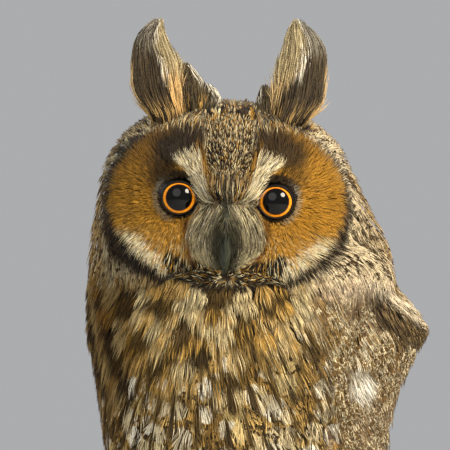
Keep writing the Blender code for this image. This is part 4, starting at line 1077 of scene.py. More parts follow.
    # Golden and black flecks along the top of the disc
    top = smoothstep(23.5, 26.5, z + jag * 0.5) * (1.0 - smoothstep(22.0, 28.0, y))
    crown = picked((BLACK, BROWN, GOLD * 0.85, SAND, CREAM), (0.30, 0.24, 0.14, 0.2, 0.12), draw)
    return mixed(colour, crown, top)


# How far the bristles beside the bill turn outwards, at heights over the eyes
FAN_BEND = (
    (-27.0, -1.2), (-24.0, -1.1), (-20.3, -0.55), (-16.6, -0.1), (-13.0, 0.12), (-9.3, 0.4), (-4.0, 0.6),
)


def face_lie(points):
    """The way that barbs lie on the face: outwards from each eye, with the brows and bristles apart."""
    local = to_head(points)
    x, z = local[..., 0], local[..., 2]
    side, sign = np.abs(x), np.sign(x)
    ray_x, ray_z = side - EYE_APART, z
    # Inwards of the eyes the rays turn up over the brow, and down in a curve beside the bill
    start, end = brow_edges(z)
    brow_share = np.clip((side - start) / np.maximum(end - start, 2.0), 0.0, 1.0)
    brow = smoothstep(-1.5, 0.5, side - start) * smoothstep(-2.5, 0.0, end - side) * (z > -1.5) * (z < 19.0)
    up = smoothstep(-4.0, 0.5, z)
    reach = fan_edge(z)
    inner = smoothstep(12.0, 8.0, side) * up + (1.0 - up) * smoothstep(2.5, -0.5, side - reach)
    bend = np.interp(z, *np.array(FAN_BEND).T)
    turn_x = up * np.interp(side, (3.0, 9.0, 16.0), (0.0, 0.3, 1.0)) * (1.0 - brow)
    turn_x = turn_x + up * brow * (0.30 + 0.65 * brow_share)
    turn_x = turn_x + (1.0 - up) * bend * np.clip(side / reach, 0.0, 1.1)
    turn_z = 2.0 * up - 1.0
    ray_length = np.hypot(ray_x, ray_z) + 1e-6
    ray_x, ray_z = ray_x / ray_length, ray_z / ray_length
    inner = np.maximum(inner, brow)
    way_x = ray_x * (1.0 - inner) + turn_x * inner
    way_z = ray_z * (1.0 - inner) + turn_z * inner
    # Under the bill they run out along the jaw, and lower down over the throat
    jaw = smoothstep(-21.5, -24.5, z + 0.30 * side) * smoothstep(26.0, 19.0, side) * (side > reach - 2.0)
    throat = smoothstep(-27.0, -30.0, z + 0.25 * side)
    way_x = way_x * (1.0 - jaw) + (0.92 - 0.40 * throat) * jaw
    way_z = way_z * (1.0 - jaw) + (0.22 - 1.00 * throat) * jaw
    local_way = np.stack((way_x * sign, np.zeros_like(x), way_z), -1)
    return unit(local_way @ HEAD_TURN.T)


def head_lie(points):
    """Behind the face the feathers lie back over the crown, and down the sides and the nape."""
    local = to_head(points)
    away = local - np.array((0.0, -6.0, -6.0))
    away = unit(away) @ HEAD_TURN.T
    down = np.zeros_like(away)
    down[..., 2] = -1.0
    level = smoothstep(362.0, 318.0, points[..., 2])[..., None]
    low = 0.35 + 0.30 * smoothstep(332.0, 308.0, points[..., 2])[..., None]
    share = np.clip(low * level + smoothstep(0.0, 55.0, local[..., 1])[..., None] * level * 0.6, 0.0, 0.93)
    return unit(away * (1.0 - share) + down * share)


def body_lie(points):
    """Down the body, spreading outwards from the middle of the breast."""
    way = np.zeros_like(points)
    slant = np.interp(points[..., 0], (-45.0, 0.0, 20.0, 45.0), (-0.40, 0.0, 0.26, 0.48))
    plain = np.clip(points[..., 0] / 45.0, -1.0, 1.0) * 0.40
    lower = smoothstep(288.0, 272.0, points[..., 2])
    way[..., 0] = np.where(points[..., 1] < 0.0, plain * (1.0 - lower) + slant * lower, plain)
    way[..., 1] = 0.15 * smoothstep(20.0, -40.0, points[..., 1])
    way[..., 2] = -1.0
    return unit(way)


def coat_lie(points):
    share = smoothstep(296.0, 318.0, points[..., 2])[..., None]
    return unit(body_lie(points) * (1.0 - share) + head_lie(points) * share)


def on_face(points):
    """How far inside the face's edge points of the head are, from 0 outside to 1."""
    local = to_head(points)
    edge = np.hypot(local[..., 0] / DISC_HALF_WIDTH, (local[..., 2] + 0.5) / DISC_HALF_HEIGHT)
    return (edge < 1.02) & (local[..., 1] < 22.0)


# The pieces

for leftover in [o for o in bpy.data.objects if o.type in ("CAMERA", "LIGHT")]:
    bpy.data.objects.remove(leftover)


def place_piece(obj, slot, *replaced):
    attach(obj, "root")
    if replaced:
        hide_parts(*replaced)
    return obj


def node_shell(name):
    mesh = nodes[name].data
    return mesh_points(mesh), [tuple(face.vertices) for face in mesh.polygons]


def mirrored(shell):
    points, faces = shell
    return points * MIRROR, [tuple(reversed(face)) for face in faces]


def section_angle(points):
    """The angle round the body's section of points near its surface, from 0 in front to 180 behind."""
    half_width, front, back = row_at(COAT_SECTIONS, points[..., 2])
    middle, depth = (front + back) / 2.0, (back - front) / 2.0
    return np.degrees(np.arctan2(np.abs(points[..., 0]) / half_width, -(points[..., 1] - middle) / depth))


# Finishes

soft_feather = feather_material("soft_feathers")
face_feather = feather_material("face_feathers", roughness=0.8, fine=0.35)
skin_finish = feather_material("skin", roughness=0.8)

LEFT_SHOULDER_OUT = 14.0
RIGHT_SHOULDER_OUT = 4.0


def wing_cover_shell(side, out):
    """The surface that the wing's small feathers lie on, rounded over the bend of the wing."""
    share = np.linspace(0.0, 1.0, 81)[:, None]
    angle = np.linspace(48.0, 176.0, 81)[None, :]
    round_share = np.clip((angle - WING_FRONT) / WING_SPAN, 0.0, 1.0)
    top = 267.0 + 27.0 * np.sin(np.pi * np.minimum(0.85 * round_share + 0.02, 0.5))
    height = top + (176.0 - top) * share
    angle = angle + 0.0 * height
    edge = np.minimum((top - height) / 16.0 + 0.02, 1.0) ** 0.9
    lift = 1.0 + 10.6 * edge * smoothstep(46.0, 66.0, angle) * (1.0 - 0.75 * smoothstep(160.0, 176.0, angle))
    lift = lift + shoulder_lift(angle, height, out - 1.0) * edge
    outer, inner = on_bed(height, angle, lift), on_bed(height, angle, -4.0 + 0.0 * lift)
    shell = (np.vstack((outer.reshape(-1, 3), inner.reshape(-1, 3))), closed_sheet(81, 81))
    return mirrored(shell) if side < 0 else shell


def ball_rings():
    """Rings of points of a ball of radius 1."""
    polar = np.linspace(0.05, math.pi - 0.05, 30)[:, None]
    around = np.linspace(0.0, 2.0 * math.pi, 41)[None, :-1]
    x, y, z = np.sin(polar) * np.cos(around), -np.cos(polar) + 0.0 * around, np.sin(polar) * np.sin(around)
    return np.stack((x, y, z), -1)


def eye_mound(side):
    """The eye with its lids, as the shape that the feathers round it lie on."""
    points, faces = capped(ball_rings() * (EYE_RADIUS + 0.3))
    return from_head(points + np.array((side * EYE_APART, EYE_DEPTH, 0.0))), faces


def crease_fill(side, radius):
    """Downy feathers between the breast and the bend of the wing."""
    points, faces = capped(ball_rings())
    return points * np.array((radius, radius, 26.0)) + np.array((side * 44.0, -17.0, 271.0)), faces


def bill_shell(grow=0.0):
    """The upper bill: a narrow arc from the brow forwards and down to its hook, with a keel on top."""
    share = np.linspace(0.0, 1.0, 60)
    turn = np.radians(20.0 + 104.0 * share**1.15)
    up = np.stack((0.0 * turn, -np.sin(turn), np.cos(turn)), -1)
    middle = np.array((0.0, 5.0, -19.0)) + up * np.array((0.0, 15.0, 14.5))
    taper = (1.0 - share**2.2) ** 0.8
    root = 0.5 + 0.5 * smoothstep(0.0, 0.32, share)
    half_width, half_height = (0.35 + 3.5 * taper) * root + grow, (0.4 + 4.2 * taper) * root + grow
    around = np.linspace(0.0, 2.0 * math.pi, 49)[None, :-1, None]
    ridge = 1.0 - 0.30 * np.clip(np.sin(around), 0.0, 1.0) ** 1.5
    wide = np.array((1.0, 0.0, 0.0)) * half_width[:, None, None] * np.cos(around) * ridge
    rings = middle[:, None] + wide + up[:, None] * half_height[:, None, None] * np.sin(around)
    points, faces = capped(rings)
    return from_head(points), faces


guide = Guide(
    "guide",
    (
        body_shell(FLANK_FRONT),
        head_shell(),
        wing_cover_shell(1, LEFT_SHOULDER_OUT),
        wing_cover_shell(-1, RIGHT_SHOULDER_OUT),
        eye_mound(1),
        eye_mound(-1),
        bill_shell(0.5),
        crease_fill(1, 8.5),
        crease_fill(-1, 6.5),
    ),
    1.4,
    9,
)


def repeated(values, index):
    return np.asarray(values)[index][:, None]


# Skin

# How deep the skin lies under the coat's outline, on the body, on the face and at the legs
SKIN_DEPTH = 3.0
FACE_SKIN_DEPTH = 1.7
LEG_SKIN_DEPTH = 1.2


def skin_piece():
    """One skin under all the feathers, painted with the coat's markings darkened as painted shade for the
    depths of the coat.
    """
    arms = wing_arm(LEFT_SHOULDER_OUT - 5.0), mirrored(wing_arm(RIGHT_SHOULDER_OUT - 2.0))
    shells = [body_shell(SKIN_FRONT), head_shell(), *arms, node_shell("tail")]
    for word in ("left", "right"):
        shells += [node_shell("leg_" + word), node_shell("foot_" + word)]
    skin = merged("skin", shells)
    applied(
        skin,
        ("REMESH", {"mode": "VOXEL", "voxel_size": 1.5 * MM}),
        ("SMOOTH", {"factor": 0.5, "iterations": 5}),
    )
    mesh = skin.data
    points, normals = mesh_points(mesh), mesh_normals(mesh)
    depth = np.where(on_face(points), FACE_SKIN_DEPTH, SKIN_DEPTH)
    legs_depth = np.interp(points[:, 2], (100.0, 165.0), (LEG_SKIN_DEPTH, SKIN_DEPTH))
    depth = np.where(points[:, 2] < 170.0, legs_depth, depth)
    points = points - normals * depth[:, None]
    mesh.vertices.foreach_set("co", (points * MM).ravel())
    draw = chance.random(len(points))
    # Painted shade: the head's markings and the body's browns, darkened to stand for the shade deep in the
    # coat
    colours = head_colours(points, draw, chance.random(len(points))) * 0.55
    body = mixed("3B2F1E", "66543A", draw)
    legs = (points[:, 2] < 168.0) & (points[:, 1] < 24.0) & (np.abs(points[:, 0]) < 36.0)
    body = np.where(legs[:, None], SAND * 0.5, body)
    colours = mixed(body, colours, smoothstep(292.0, 304.0, points[:, 2]))
    paint(mesh, "coat", colours)
    paint(mesh, "fleck", np.concatenate((BLACK + colours * 0.0, np.full((len(points), 1), 0.35)), -1))
    return finish_smooth(skin, skin_finish)


def finish_smooth(obj, finish):
    obj.data.materials.clear()
    obj.data.materials.append(finish)
    for face in obj.data.polygons:
        face.use_smooth = True
    return obj


replaced = ["torso", "neck", "head", "leg_left", "leg_right", "foot_left", "foot_right"]
place_piece(skin_piece(), "breast_coat", *replaced)


# The face

# The bare horn of the bill: heights over the eyes and half widths that no feather is rooted in
BARE_BILL = ((-28.5, 0.6), (-25.0, 2.6), (-16.0, 4.0), (-11.0, 2.4), (-7.5, 0.0))


def face_spacing(points):
    """How far apart feathers are rooted on the face, closest round the eyes, and 0 where none is."""
    local = to_head(points)
    eye_gap = np.hypot(np.abs(local[:, 0]) - EYE_APART, local[:, 2])
    spacing = np.interp(eye_gap, (6.2, 9.0, 14.0, 30.0), (0.48, 0.72, 0.95, 1.1))
    side = np.abs(local[:, 0])
    bare_bill = side < np.interp(local[:, 2], *np.array(BARE_BILL).T)
    bare_bill &= local[:, 1] < np.interp(local[:, 2], (-24.0, -16.0), (-2.0, 3.0))
    bare_bill &= (local[:, 2] < -7.5) & (local[:, 2] > -28.5)
    bridge = (side < 9.0) & (local[:, 2] < 3.0) & (local[:, 2] > -9.0)
    spacing = np.where(bridge, np.minimum(spacing, 0.62), spacing)
    wedge = (side < 9.5) & (local[:, 2] > 3.0)
    spacing = np.where(wedge, np.minimum(spacing, 0.75), spacing)
    near_eye = 6.2 + 0.5 * np.clip(local[:, 2] / eye_gap, 0.0, 1.0)
    shown = on_face(points) & (eye_gap > near_eye) & (points[:, 2] > 290.0) & ~bare_bill
    return np.where(shown, spacing, 0.0)


def face_piece(name, roots, normals):
    """The facial disc's fine barbs, with the brows, and the long bristles beside the bill."""
    n = len(roots)
    local = to_head(roots)
    eye_gap = np.hypot(np.abs(local[:, 0]) - EYE_APART, local[:, 2])
    length = np.interp(eye_gap, (6.6, 8.0, 12.0, 25.0), (1.5, 3.0, 6.0, 9.0)) * chance.uniform(0.85, 1.15, n)
    wedge = (np.abs(local[:, 0]) < np.interp(local[:, 2], (0.0, 6.0), (5.0, 8.5))) & (local[:, 2] > -1.0)
    length = np.where(wedge, 1.9, length)
    width = np.where(wedge, 1.1, np.minimum(2.4, length * 0.6))
    # The bristles beside the bill are long, and lie over its sides
    bristle = (np.abs(local[:, 0]) < fan_edge(local[:, 2])) & (local[:, 2] < 1.0)
    bristle_length = np.interp(local[:, 2], (-27.0, -22.0, -15.0, -8.0), (2.5, 4.5, 8.5, 10.5))
    length = np.where(bristle, bristle_length * chance.uniform(0.8, 1.1, n), length)
    jaw = (local[:, 2] + 0.3 * np.abs(local[:, 0]) < -21.0) & (np.abs(local[:, 0]) < 21.0)
    length = np.where(jaw, np.minimum(length, 3.8), length)
    width = np.where(bristle, 2.6, width)
    lines = centre_lines(guide, roots - normals * 0.3, normals, face_lie, length)
    over_bridge = (np.abs(local[:, 0]) < 4.0) & (local[:, 2] > -11.0)
    proud = np.where(bristle, np.where(over_bridge, 1.5, 0.8), 0.25)
    barbs = barbs_on(lines, length, width, 8, 1.4, proud, reach=0.75, ragged=0.08, loose=0.18)
    index = barbs["index"]
    draw = chance.random(len(index))
    sample = barbs["point"][:, :1] * 0.6 + barbs["point"][:, -1:] * 0.4
    point = np.repeat(sample, barbs["point"].shape[1], 1)
    colours = head_colours(point, draw[:, None], chance.random(len(index))[:, None])
    # Painted shade: each barb darker towards its root, under the barbs over it, with a random tone for each
    # barb
    tone = (0.78 + 0.28 * barbs["t"]) * chance.uniform(0.88, 1.1, len(index))[:, None]
    colours = colours * tone[..., None]
    flecks = np.concatenate((colours * 0.6, np.zeros(colours.shape[:-1] + (1,))), -1)
    places = round_head(roots)[index]
    return strand_mesh(name, barbs, BARB_BREADTH["face"], colours, flecks, places, face_feather)


# The rest of the head: ruff, cheeks, crown and nape

def head_spacing(points):
    """How far apart feathers are rooted on the crown, the ruff and the nape."""
    local = to_head(points)
    off_face = ~on_face(points) & (points[:, 2] > 304.0)
    spacing = np.interp(local[:, 1], (0.0, 20.0, 45.0), (1.9, 2.6, 3.8))
    on_top = (local[:, 2] > 20.0) & (local[:, 1] < 30.0)
    return np.where(off_face, np.where(on_top, 1.5, spacing), 0.0)


def head_piece(name, roots, normals):
    """Short speckled feathers on the crown and the ruff, and long streaked ones on the nape."""
    n = len(roots)
    local = to_head(roots)
    length = np.interp(local[:, 1], (0.0, 20.0, 50.0), (6.5, 9.0, 13.0)) * chance.uniform(0.85, 1.15, n)
    length = length + 4.0 * smoothstep(-8.0, -20.0, local[:, 2])
    length = np.where((local[:, 2] > 20.0) & (local[:, 1] < 30.0), 4.6, length)
    width = length * 0.5
    lines = centre_lines(guide, roots, normals, coat_lie, length)
    count = 12 if name == "nape_feathers" else 18
    barbs = barbs_on(lines, length, width, count, 2.4, 0.35, reach=0.55, ragged=0.08, loose=0.2, fan=0.35)
    index = barbs["index"]
    draw, other = chance.random(n)[index], chance.random(n)[index]
    draw = np.clip(draw + chance.normal(0.0, 0.08, len(index)), 0.0, 1.0)
    colours = head_colours(barbs["point"], draw[:, None], other[:, None])
    back = smoothstep(20.0, 40.0, to_head(barbs["point"])[..., 1])
    streak = 1.0 - smoothstep(0.10, 0.32, np.abs(barbs["u"]))
    ground = mixed(SAND, "B9924F", chance.random(n)[index])[:, None, :]
    ground = ground * chance.uniform(0.75, 1.0, n)[index][:, None, None]
    nape = mixed(ground + 0.0 * colours, BROWN, streak * 0.85)
    colours = mixed(colours, nape, back)
    colours = colours * (0.72 + 0.38 * barbs["v"])[..., None]
    colours = colours * chance.uniform(0.85, 1.12, len(index))[:, None, None]
    amount = np.full(colours.shape[:-1] + (1,), 0.42)
    flecks = np.concatenate((BROWN * 0.7 + 0.0 * colours, amount), -1)
    places = round_head(roots)[index]
    return strand_mesh(name, barbs, BARB_BREADTH["head"], colours, flecks, places, soft_feather)


# The body: breast, belly, flanks, the neck all round and the strip of the back between the wings

def wing_top(angle):
    """How high the wing's small feathers begin, at an angle round the body."""
    round_share = np.clip((angle - WING_FRONT) / WING_SPAN, 0.0, 1.0)
    return 262.0 + 27.0 * np.sin(np.pi * np.minimum(0.85 * round_share, 0.5))


def on_wing(points):
    angle = section_angle(points)
    return (angle > 60.0) & (angle < 166.0) & (points[:, 2] < wing_top(angle))


def in_crease(points):
    """The fold between the breast and the bend of the wing."""
    angle, height = section_angle(points), points[:, 2]
    return (angle > 50.0) & (angle < 84.0) & (height > 250.0) & (height < 300.0)


def body_spacing(points):
    """How far apart feathers are rooted on the neck and the body, wider apart as they grow longer."""
    local = to_head(points)
    height = points[:, 2]
    chin = on_face(points) & (np.hypot(local[:, 0] / DISC_HALF_WIDTH, local[:, 2] / DISC_HALF_HEIGHT) > 0.86)
    shown = (~on_face(points) | (chin & (local[:, 2] < -20.0))) & (height < 306.0) & (height > 97.0)
    shown &= ~on_wing(points)
    spacing = np.interp(height, (100.0, 255.0, 272.0, 300.0), (7.0, 6.3, 4.7, 3.8))
    return np.where(shown, np.where(in_crease(points), 3.6, spacing), 0.0)


# On the left shoulder, in the head's frame: a white patch's middle and half sizes, and the pale edge's ends
WHITE_PATCH = (52.7, -68.0), (4.8, 5.8)
SHOULDER_EDGE = (54.0, -28.5), (77.0, -42.5)


def shoulder_marks(place, colours, marks, amount, draw):
    """The left shoulder's markings: pale worms on brown, a pale edge, and dark hairs below it."""
    x, z = place[..., 0], place[..., 2]
    like = 0.0 * x
    shown = smoothstep(44.0, 32.0, place[..., 1])
    (middle_x, middle_z), (half_width, half_height) = WHITE_PATCH
    from_patch = np.hypot((x - middle_x) / half_width, (z - middle_z) / half_height)
    patch = 1.0 - smoothstep(0.85, 1.15, from_patch + 0.5 * (draw - 0.5))
    patch = patch * shown
    jag = 5.0 * (draw - 0.5)
    brown = smoothstep(33.0, 39.0, x + 0.25 * (z + 50.0)) * smoothstep(-32.0, -37.0, z + jag)
    brown = brown * (1.0 - patch) * shown
    ground = mixed("5F4A2C", "8A6C40", draw + like)
    colours = mixed(colours, ground, brown * 0.8)
    marks = mixed(marks, "E8DAB6", brown)
    golden = smoothstep(47.0, 41.0, x) * smoothstep(-55.0, -48.0, z) * (draw > 0.55)
    colours = mixed(colours, "B08F50", brown * golden * 0.8)
    wormy = (x > 40.0) & (blotches(0.8 * x, z) + (z < -45.0) * 0.5 > 0.0)
    amount = np.where(brown > 0.5, np.where(wormy, 0.8, 0.36), amount)
    colours = mixed(colours, "F1ECDD", patch)
    amount = amount * (1.0 - 0.5 * patch)
    gap, _ = gap_to_line(x, z, *SHOULDER_EDGE)
    edge = (1.0 - smoothstep(1.8, 3.2, gap)) * (draw > 0.15) * shown
    under = shown * (1.0 - smoothstep(10.0, 14.0, gap)) * smoothstep(52.0, 57.0, x)
    under = under * (z < -30.0 - 0.6 * (x - 56.0))
    hairs = mixed("362C1E", "8C7550", (draw > 0.6) + like)
    colours = mixed(colours, hairs, under * 0.9)
    colours = mixed(colours, "E9DABD", edge * 0.9)
    return colours, marks, amount * (1.0 - 0.7 * np.maximum(edge, under))


def body_piece(name, roots, normals):
    """The feathers of one part of the neck and the body: soft tufts above, and broad vanes of barbs below."""
    n = len(roots)
    height = roots[:, 2]
    low = smoothstep(272.0, 258.0, height)
    length = np.interp(height, (100.0, 250.0, 274.0, 300.0), (30.0, 28.0, 20.0, 14.0))
    length = length * chance.uniform(0.9, 1.1, n)
    width = np.interp(height, (250.0, 274.0, 300.0), (18.0, 11.0, 8.5)) * chance.uniform(0.92, 1.08, n)
    lines = centre_lines(guide, roots, normals, coat_lie, length, 6)
    count = np.round((66 + 14 * low) * (0.8 if name == "back_feathers" else 1.0)).astype(int)
    barbs = barbs_on(
        lines, length, width, count, 3.3 + 0.7 * low, 0.7,
        reach=0.5 - 0.14 * low, ragged=0.06, loose=0.35 - 0.13 * low, fan=0.3 + 0.2 * low,
    )
    index = barbs["index"]
    colours, amount, plain = breast_colours(roots, barbs)
    marks = shade_of("3A2C18") + 0.0 * colours
    place = to_head(barbs["point"]) + chance.normal(0.0, 0.5, (len(index), 1, 1))
    draw = chance.random(len(index))[:, None]
    colours, marks, amount = shoulder_marks(place, colours, marks, amount, draw)
    plain = np.maximum(plain, amount > 0.6)
    colours = np.concatenate((colours, plain[..., None]), -1)
    flecks = np.concatenate((marks, amount[..., None]), -1)
    places = round_body(roots)[index]
    return strand_mesh(name, barbs, BARB_BREADTH["body"], colours, flecks, places, soft_feather)


# Waves across and up the body, 7.5 to 13 mm long and 15 to 34 mm tall, and where each one starts
BLOTCH_WAVES = [
    (
        2.0 * math.pi / chance.uniform(7.5, 13.0) * chance.choice((-1, 1)),
        2.0 * math.pi / chance.uniform(15.0, 34.0),
        chance.uniform(0.0, 6.28),
    )
    for _ in range(12)
]


def blotches(x, z):
    """Soft irregular patches, from -1 to 1 or so, taller than they are wide."""
    return sum(np.sin(a * x + b * z + c) for a, b, c in BLOTCH_WAVES) / 2.5


def breast_colours(roots, barbs):
    """Golden tufts and dark blotches above, and cream spots beside dark shaft streaks below."""
    index, u, v = barbs["index"], np.abs(barbs["u"]), barbs["v"]
    n = len(roots)
    height = roots[:, 2]
    local = to_head(roots)
    behind = repeated(section_angle(roots) > 100.0, index)
    start = np.interp(local[:, 0], (-30.0, 30.0), (266.0, 280.0)) + chance.normal(0.0, 5.0, n)
    low = repeated(smoothstep(start + 7.0, start - 7.0, height), index)
    warm = repeated(chance.random(n), index)
    golden, whitish, brown = shade_of("C69A40"), shade_of("E2D3A6"), shade_of("86642F")
    spread = np.arctan2(roots[:, 0], 60.0 - roots[:, 1]) * 62.0
    field = blotches(spread, height) + chance.normal(0.0, 0.22, n)
    field = field + 0.55 * smoothstep(281.0, 292.0, height) - 0.45 * np.exp(-(((height - 273.0) / 6.0) ** 2))
    patch = repeated(field, index) + chance.normal(0.0, 0.22, len(index))[:, None] + 0.25 * (v - 0.7)
    ground = mixed(golden, whitish, smoothstep(0.1, 1.1, patch) * 0.8 + 0.2 * warm)
    ground = mixed(ground, brown, 0.35 * (1.0 - low) * (1.0 - v))
    # Below, the ground is golden brown, and round pale spots stand in pairs beside the dark shaft
    lower = mixed("A8833F", "D2B06A", warm + 0.0 * u)
    jag = chance.normal(0.0, 0.06, len(index))[:, None]
    ground = mixed(ground, lower, low)
    wide = repeated(chance.uniform(0.10, 0.24, n), index)
    streak = 1.0 - smoothstep(wide - 0.07, wide + 0.07, u + jag)
    streak = streak * (1.0 - 0.5 * smoothstep(0.95, 1.05, v))
    dark_tuft = np.maximum(smoothstep(0.05, -0.35, patch), 0.45 * streak)
    low_streak = np.maximum(streak, 0.5 * smoothstep(-0.6, -1.0, patch))
    streak = dark_tuft * (1.0 - low) + low_streak * low
    dark = mixed("2A2012", "52401F", repeated(chance.random(n), index) + 0.0 * u)
    colours = mixed(ground, dark, streak * 0.95)
    # Painted light: the neck on the owl's left, towards the key light, is pale pinkish cream
    neck = smoothstep(24.0, 38.0, local[:, 0])
    neck = repeated(neck * smoothstep(-40.0, -31.0, local[:, 2] + chance.normal(0.0, 2.0, n)), index)
    pale = mixed("EBD8BC", "A48766", streak * 0.6)
    colours = mixed(colours, pale, neck * 0.85 * ~behind)
    # Painted shade: the front darker towards the owl's right side, away from the key light
    shade = repeated(smoothstep(-20.0, -44.0, local[:, 0]), index) * ~behind
    colours = mixed(colours, colours * shade_of("A08C5C"), shade * 0.85)
    nape = mixed("B79A66", BROWN, streak)
    colours = np.where(behind[..., None], nape, colours)
    colours = mixed("5E4B2C", colours, smoothstep(0.10, 0.42, v))
    colours = colours * chance.uniform(0.85, 1.12, len(index))[:, None, None]
    amount = 0.22 + 0.25 * low * smoothstep(0.3, 0.5, v)
    amount = np.where(behind, 0.46, amount) * (1.0 - 0.7 * streak)
    plain = 1.0 - low * (1.0 - smoothstep(0.3, 0.7, streak)) * ~behind * smoothstep(0.25, 0.4, v)
    return colours, amount, plain


face_roots, face_normals = guide.scatter(face_spacing)
on_left = face_roots[:, 0] > HEAD_ORIGIN[0]
for word, keep in (("left", on_left), ("right", ~on_left)):
    place_piece(face_piece("face_feathers_" + word, face_roots[keep], face_normals[keep]), "facial_disc")
head_roots, head_normals = guide.scatter(head_spacing)
behind_head = to_head(head_roots)[:, 1] > 22.0
place_piece(head_piece("crown_and_ruff", head_roots[~behind_head], head_normals[~behind_head]), "breast_coat")
place_piece(head_piece("nape_feathers", head_roots[behind_head], head_normals[behind_head]), "breast_coat")
body_roots, body_normals = guide.scatter(body_spacing)
in_front = section_angle(body_roots) < 88.0
to_left = body_roots[:, 0] >= 0.0
for name, part in (
    ("breast_feathers_left", in_front & to_left),
    ("breast_feathers_right", in_front & ~to_left),
    ("back_feathers", ~in_front),
):
    place_piece(body_piece(name, body_roots[part], body_normals[part]), "breast_coat")


# Wings: the long feathers as vanes, and the small ones over them as tufts of barbs

flight_finish = vane_material("flight_feathers")
covert_finish = vane_material("wing_coverts", period=11.0, share=0.3, ragged=2.6)
tail_finish = vane_material("tail_feathers", period=14.0, share=0.36)

WING_GROUND = shade_of("8C7452")
WING_DARK = shade_of("3A2C1D")


def bake_columns(count, offset):
    """Places for big vanes, side by side in rows of the bake map."""
    k = np.arange(count) + offset
    return np.stack((0.01 + (k % 28) * 0.034, 0.02 + (k // 28) * 0.12), -1)


def wing_row_piece(name, row, side, out, offset, finish):
    """One row of a wing's long feathers, with its colours: orange-buff at the primaries' roots."""
    points, outs, map_mm, v, u = wing_vanes(*row, out, side)
    n = len(points)
    warm = chance.uniform(0.0, 1.0, (n, 1, 1)) + 0.0 * v
    ground = mixed(WING_GROUND, "A89472", 0.6 * warm)
    if row[0] == "primaries":
        ground = mixed("B5894F", ground, smoothstep(0.25, 0.55, v))
    if "coverts" in row[0]:
        ground = mixed(ground, PALE, 0.55 * smoothstep(0.75, 0.95, v) * (np.abs(u) > 0.35) * (warm > 0.45))
    fleck = mixed(WING_DARK, "5E4930", 0.3 + 0.5 * warm)
    fleck = np.concatenate((fleck, 0.48 + 0.0 * v[..., None]), -1)
    return vane_mesh(name, points, outs, map_mm, bake_columns(n, offset), finish, ground, fleck)


def wing_lie(points):
    """Down and backwards over the wing, and straight down near the back's middle."""
    angle = section_angle(points)
    way = np.zeros_like(points)
    way[..., 1] = 0.85 * smoothstep(40.0, 80.0, angle) * (1.0 - smoothstep(130.0, 160.0, angle))
    way[..., 2] = -1.0
    return unit(way)


def wing_spacing(points):
    """How far apart the wing's small feathers are rooted, and 0 below them."""
    angle, height = section_angle(points), points[:, 2]
    low = np.interp(angle, (90.0, 115.0, 170.0), (240.0, 214.0, 206.0))
    shown = on_wing(points) & (height > low)
    spacing = np.interp(height, (220.0, 260.0, 290.0), (6.4, 4.7, 3.6))
    return np.where(shown, np.where(in_crease(points), 3.6, spacing), 0.0)


def wing_cover_piece(name, roots, normals, side):
    """The wing's small coverts: brown feathers with dark shafts, some golden and some with pale spots."""
    n = len(roots)
    height = roots[:, 2]
    length = np.interp(height, (215.0, 245.0, 290.0), (34.0, 23.0, 14.0)) * chance.uniform(0.9, 1.12, n)
    width = np.interp(height, (215.0, 245.0, 290.0), (17.0, 12.5, 8.5)) * chance.uniform(0.9, 1.1, n)
    lines = centre_lines(guide, roots, normals, wing_lie, length, 6)
    barbs = barbs_on(lines, length, width, 49, 3.2, 0.7, reach=0.42, ragged=0.05, loose=0.25, fan=0.4)
    index = barbs["index"]
    u, v = np.abs(barbs["u"]), barbs["v"]
    warm = repeated(chance.random(n), index)
    ground = mixed("7E6642", "B79C6C", warm + 0.0 * v)
    golden = repeated(chance.random(n) < 0.3, index) * smoothstep(0.2, 0.55, v)
    ground = mixed(ground, "C0924C", golden * 0.7)
    spot = repeated(chance.random(n) < 0.22, index) * smoothstep(0.62, 0.74, v) * smoothstep(0.15, 0.4, u)
    ground = mixed(ground, "F1ECDD", spot)
    wide = repeated(chance.uniform(0.10, 0.30, n), index)
    streak = 1.0 - smoothstep(wide - 0.08, wide + 0.08, u + chance.normal(0.0, 0.05, len(index))[:, None])
    colours = mixed(ground, DARK, streak * 0.9 * (1.0 - spot))
    colours = mixed("54462F", colours, smoothstep(0.15, 0.5, v))
    colours = colours * chance.uniform(0.8, 1.15, len(index))[:, None, None]
    amount = (0.50 - 0.22 * spot) * (1.0 - 0.5 * streak)
    marks = WING_DARK + 0.0 * colours
    if side > 0:
        place = to_head(barbs["point"]) + chance.normal(0.0, 0.5, (len(index), 1, 1))
        draw = chance.random(len(index))[:, None]
        colours, marks, amount = shoulder_marks(place, colours, marks, amount, draw)
    flecks = np.concatenate((marks, amount[..., None]), -1)
    places = round_body(roots)[index]
    return strand_mesh(name, barbs, BARB_BREADTH["wing"], colours, flecks, places, soft_feather)


wing_roots, wing_normals = guide.scatter(wing_spacing)
for word, side, out in (("left", 1, LEFT_SHOULDER_OUT), ("right", -1, RIGHT_SHOULDER_OUT)):
    offset = 0
    for row in WING_ROWS:
        finish = covert_finish if "coverts" in row[0] else flight_finish
        piece = wing_row_piece(f"{row[0]}_{word}", row, side, out, offset, finish)
        offset += row[2]
        place_piece(piece, "flight_feathers", "wing_" + word)
    keep = wing_roots[:, 0] * side > 0.0
    piece = wing_cover_piece(f"small_coverts_{word}", wing_roots[keep], wing_normals[keep], side)
    place_piece(piece, "flight_feathers", "wing_" + word)
bpy.data.objects.remove(guide.object)


def tail_piece():
    points, outs, map_mm, v = tail_vanes()
    ground = mixed("A98555", "8F7C60", smoothstep(0.4, 0.9, v))
    fleck = np.concatenate((WING_DARK + 0.0 * ground, 0.40 + 0.0 * v[..., None]), -1)
    return vane_mesh("tail_feathers", points, outs, map_mm, bake_columns(12, 0), tail_finish, ground, fleck)


place_piece(tail_piece(), "flight_feathers", "tail")


# Ear tufts

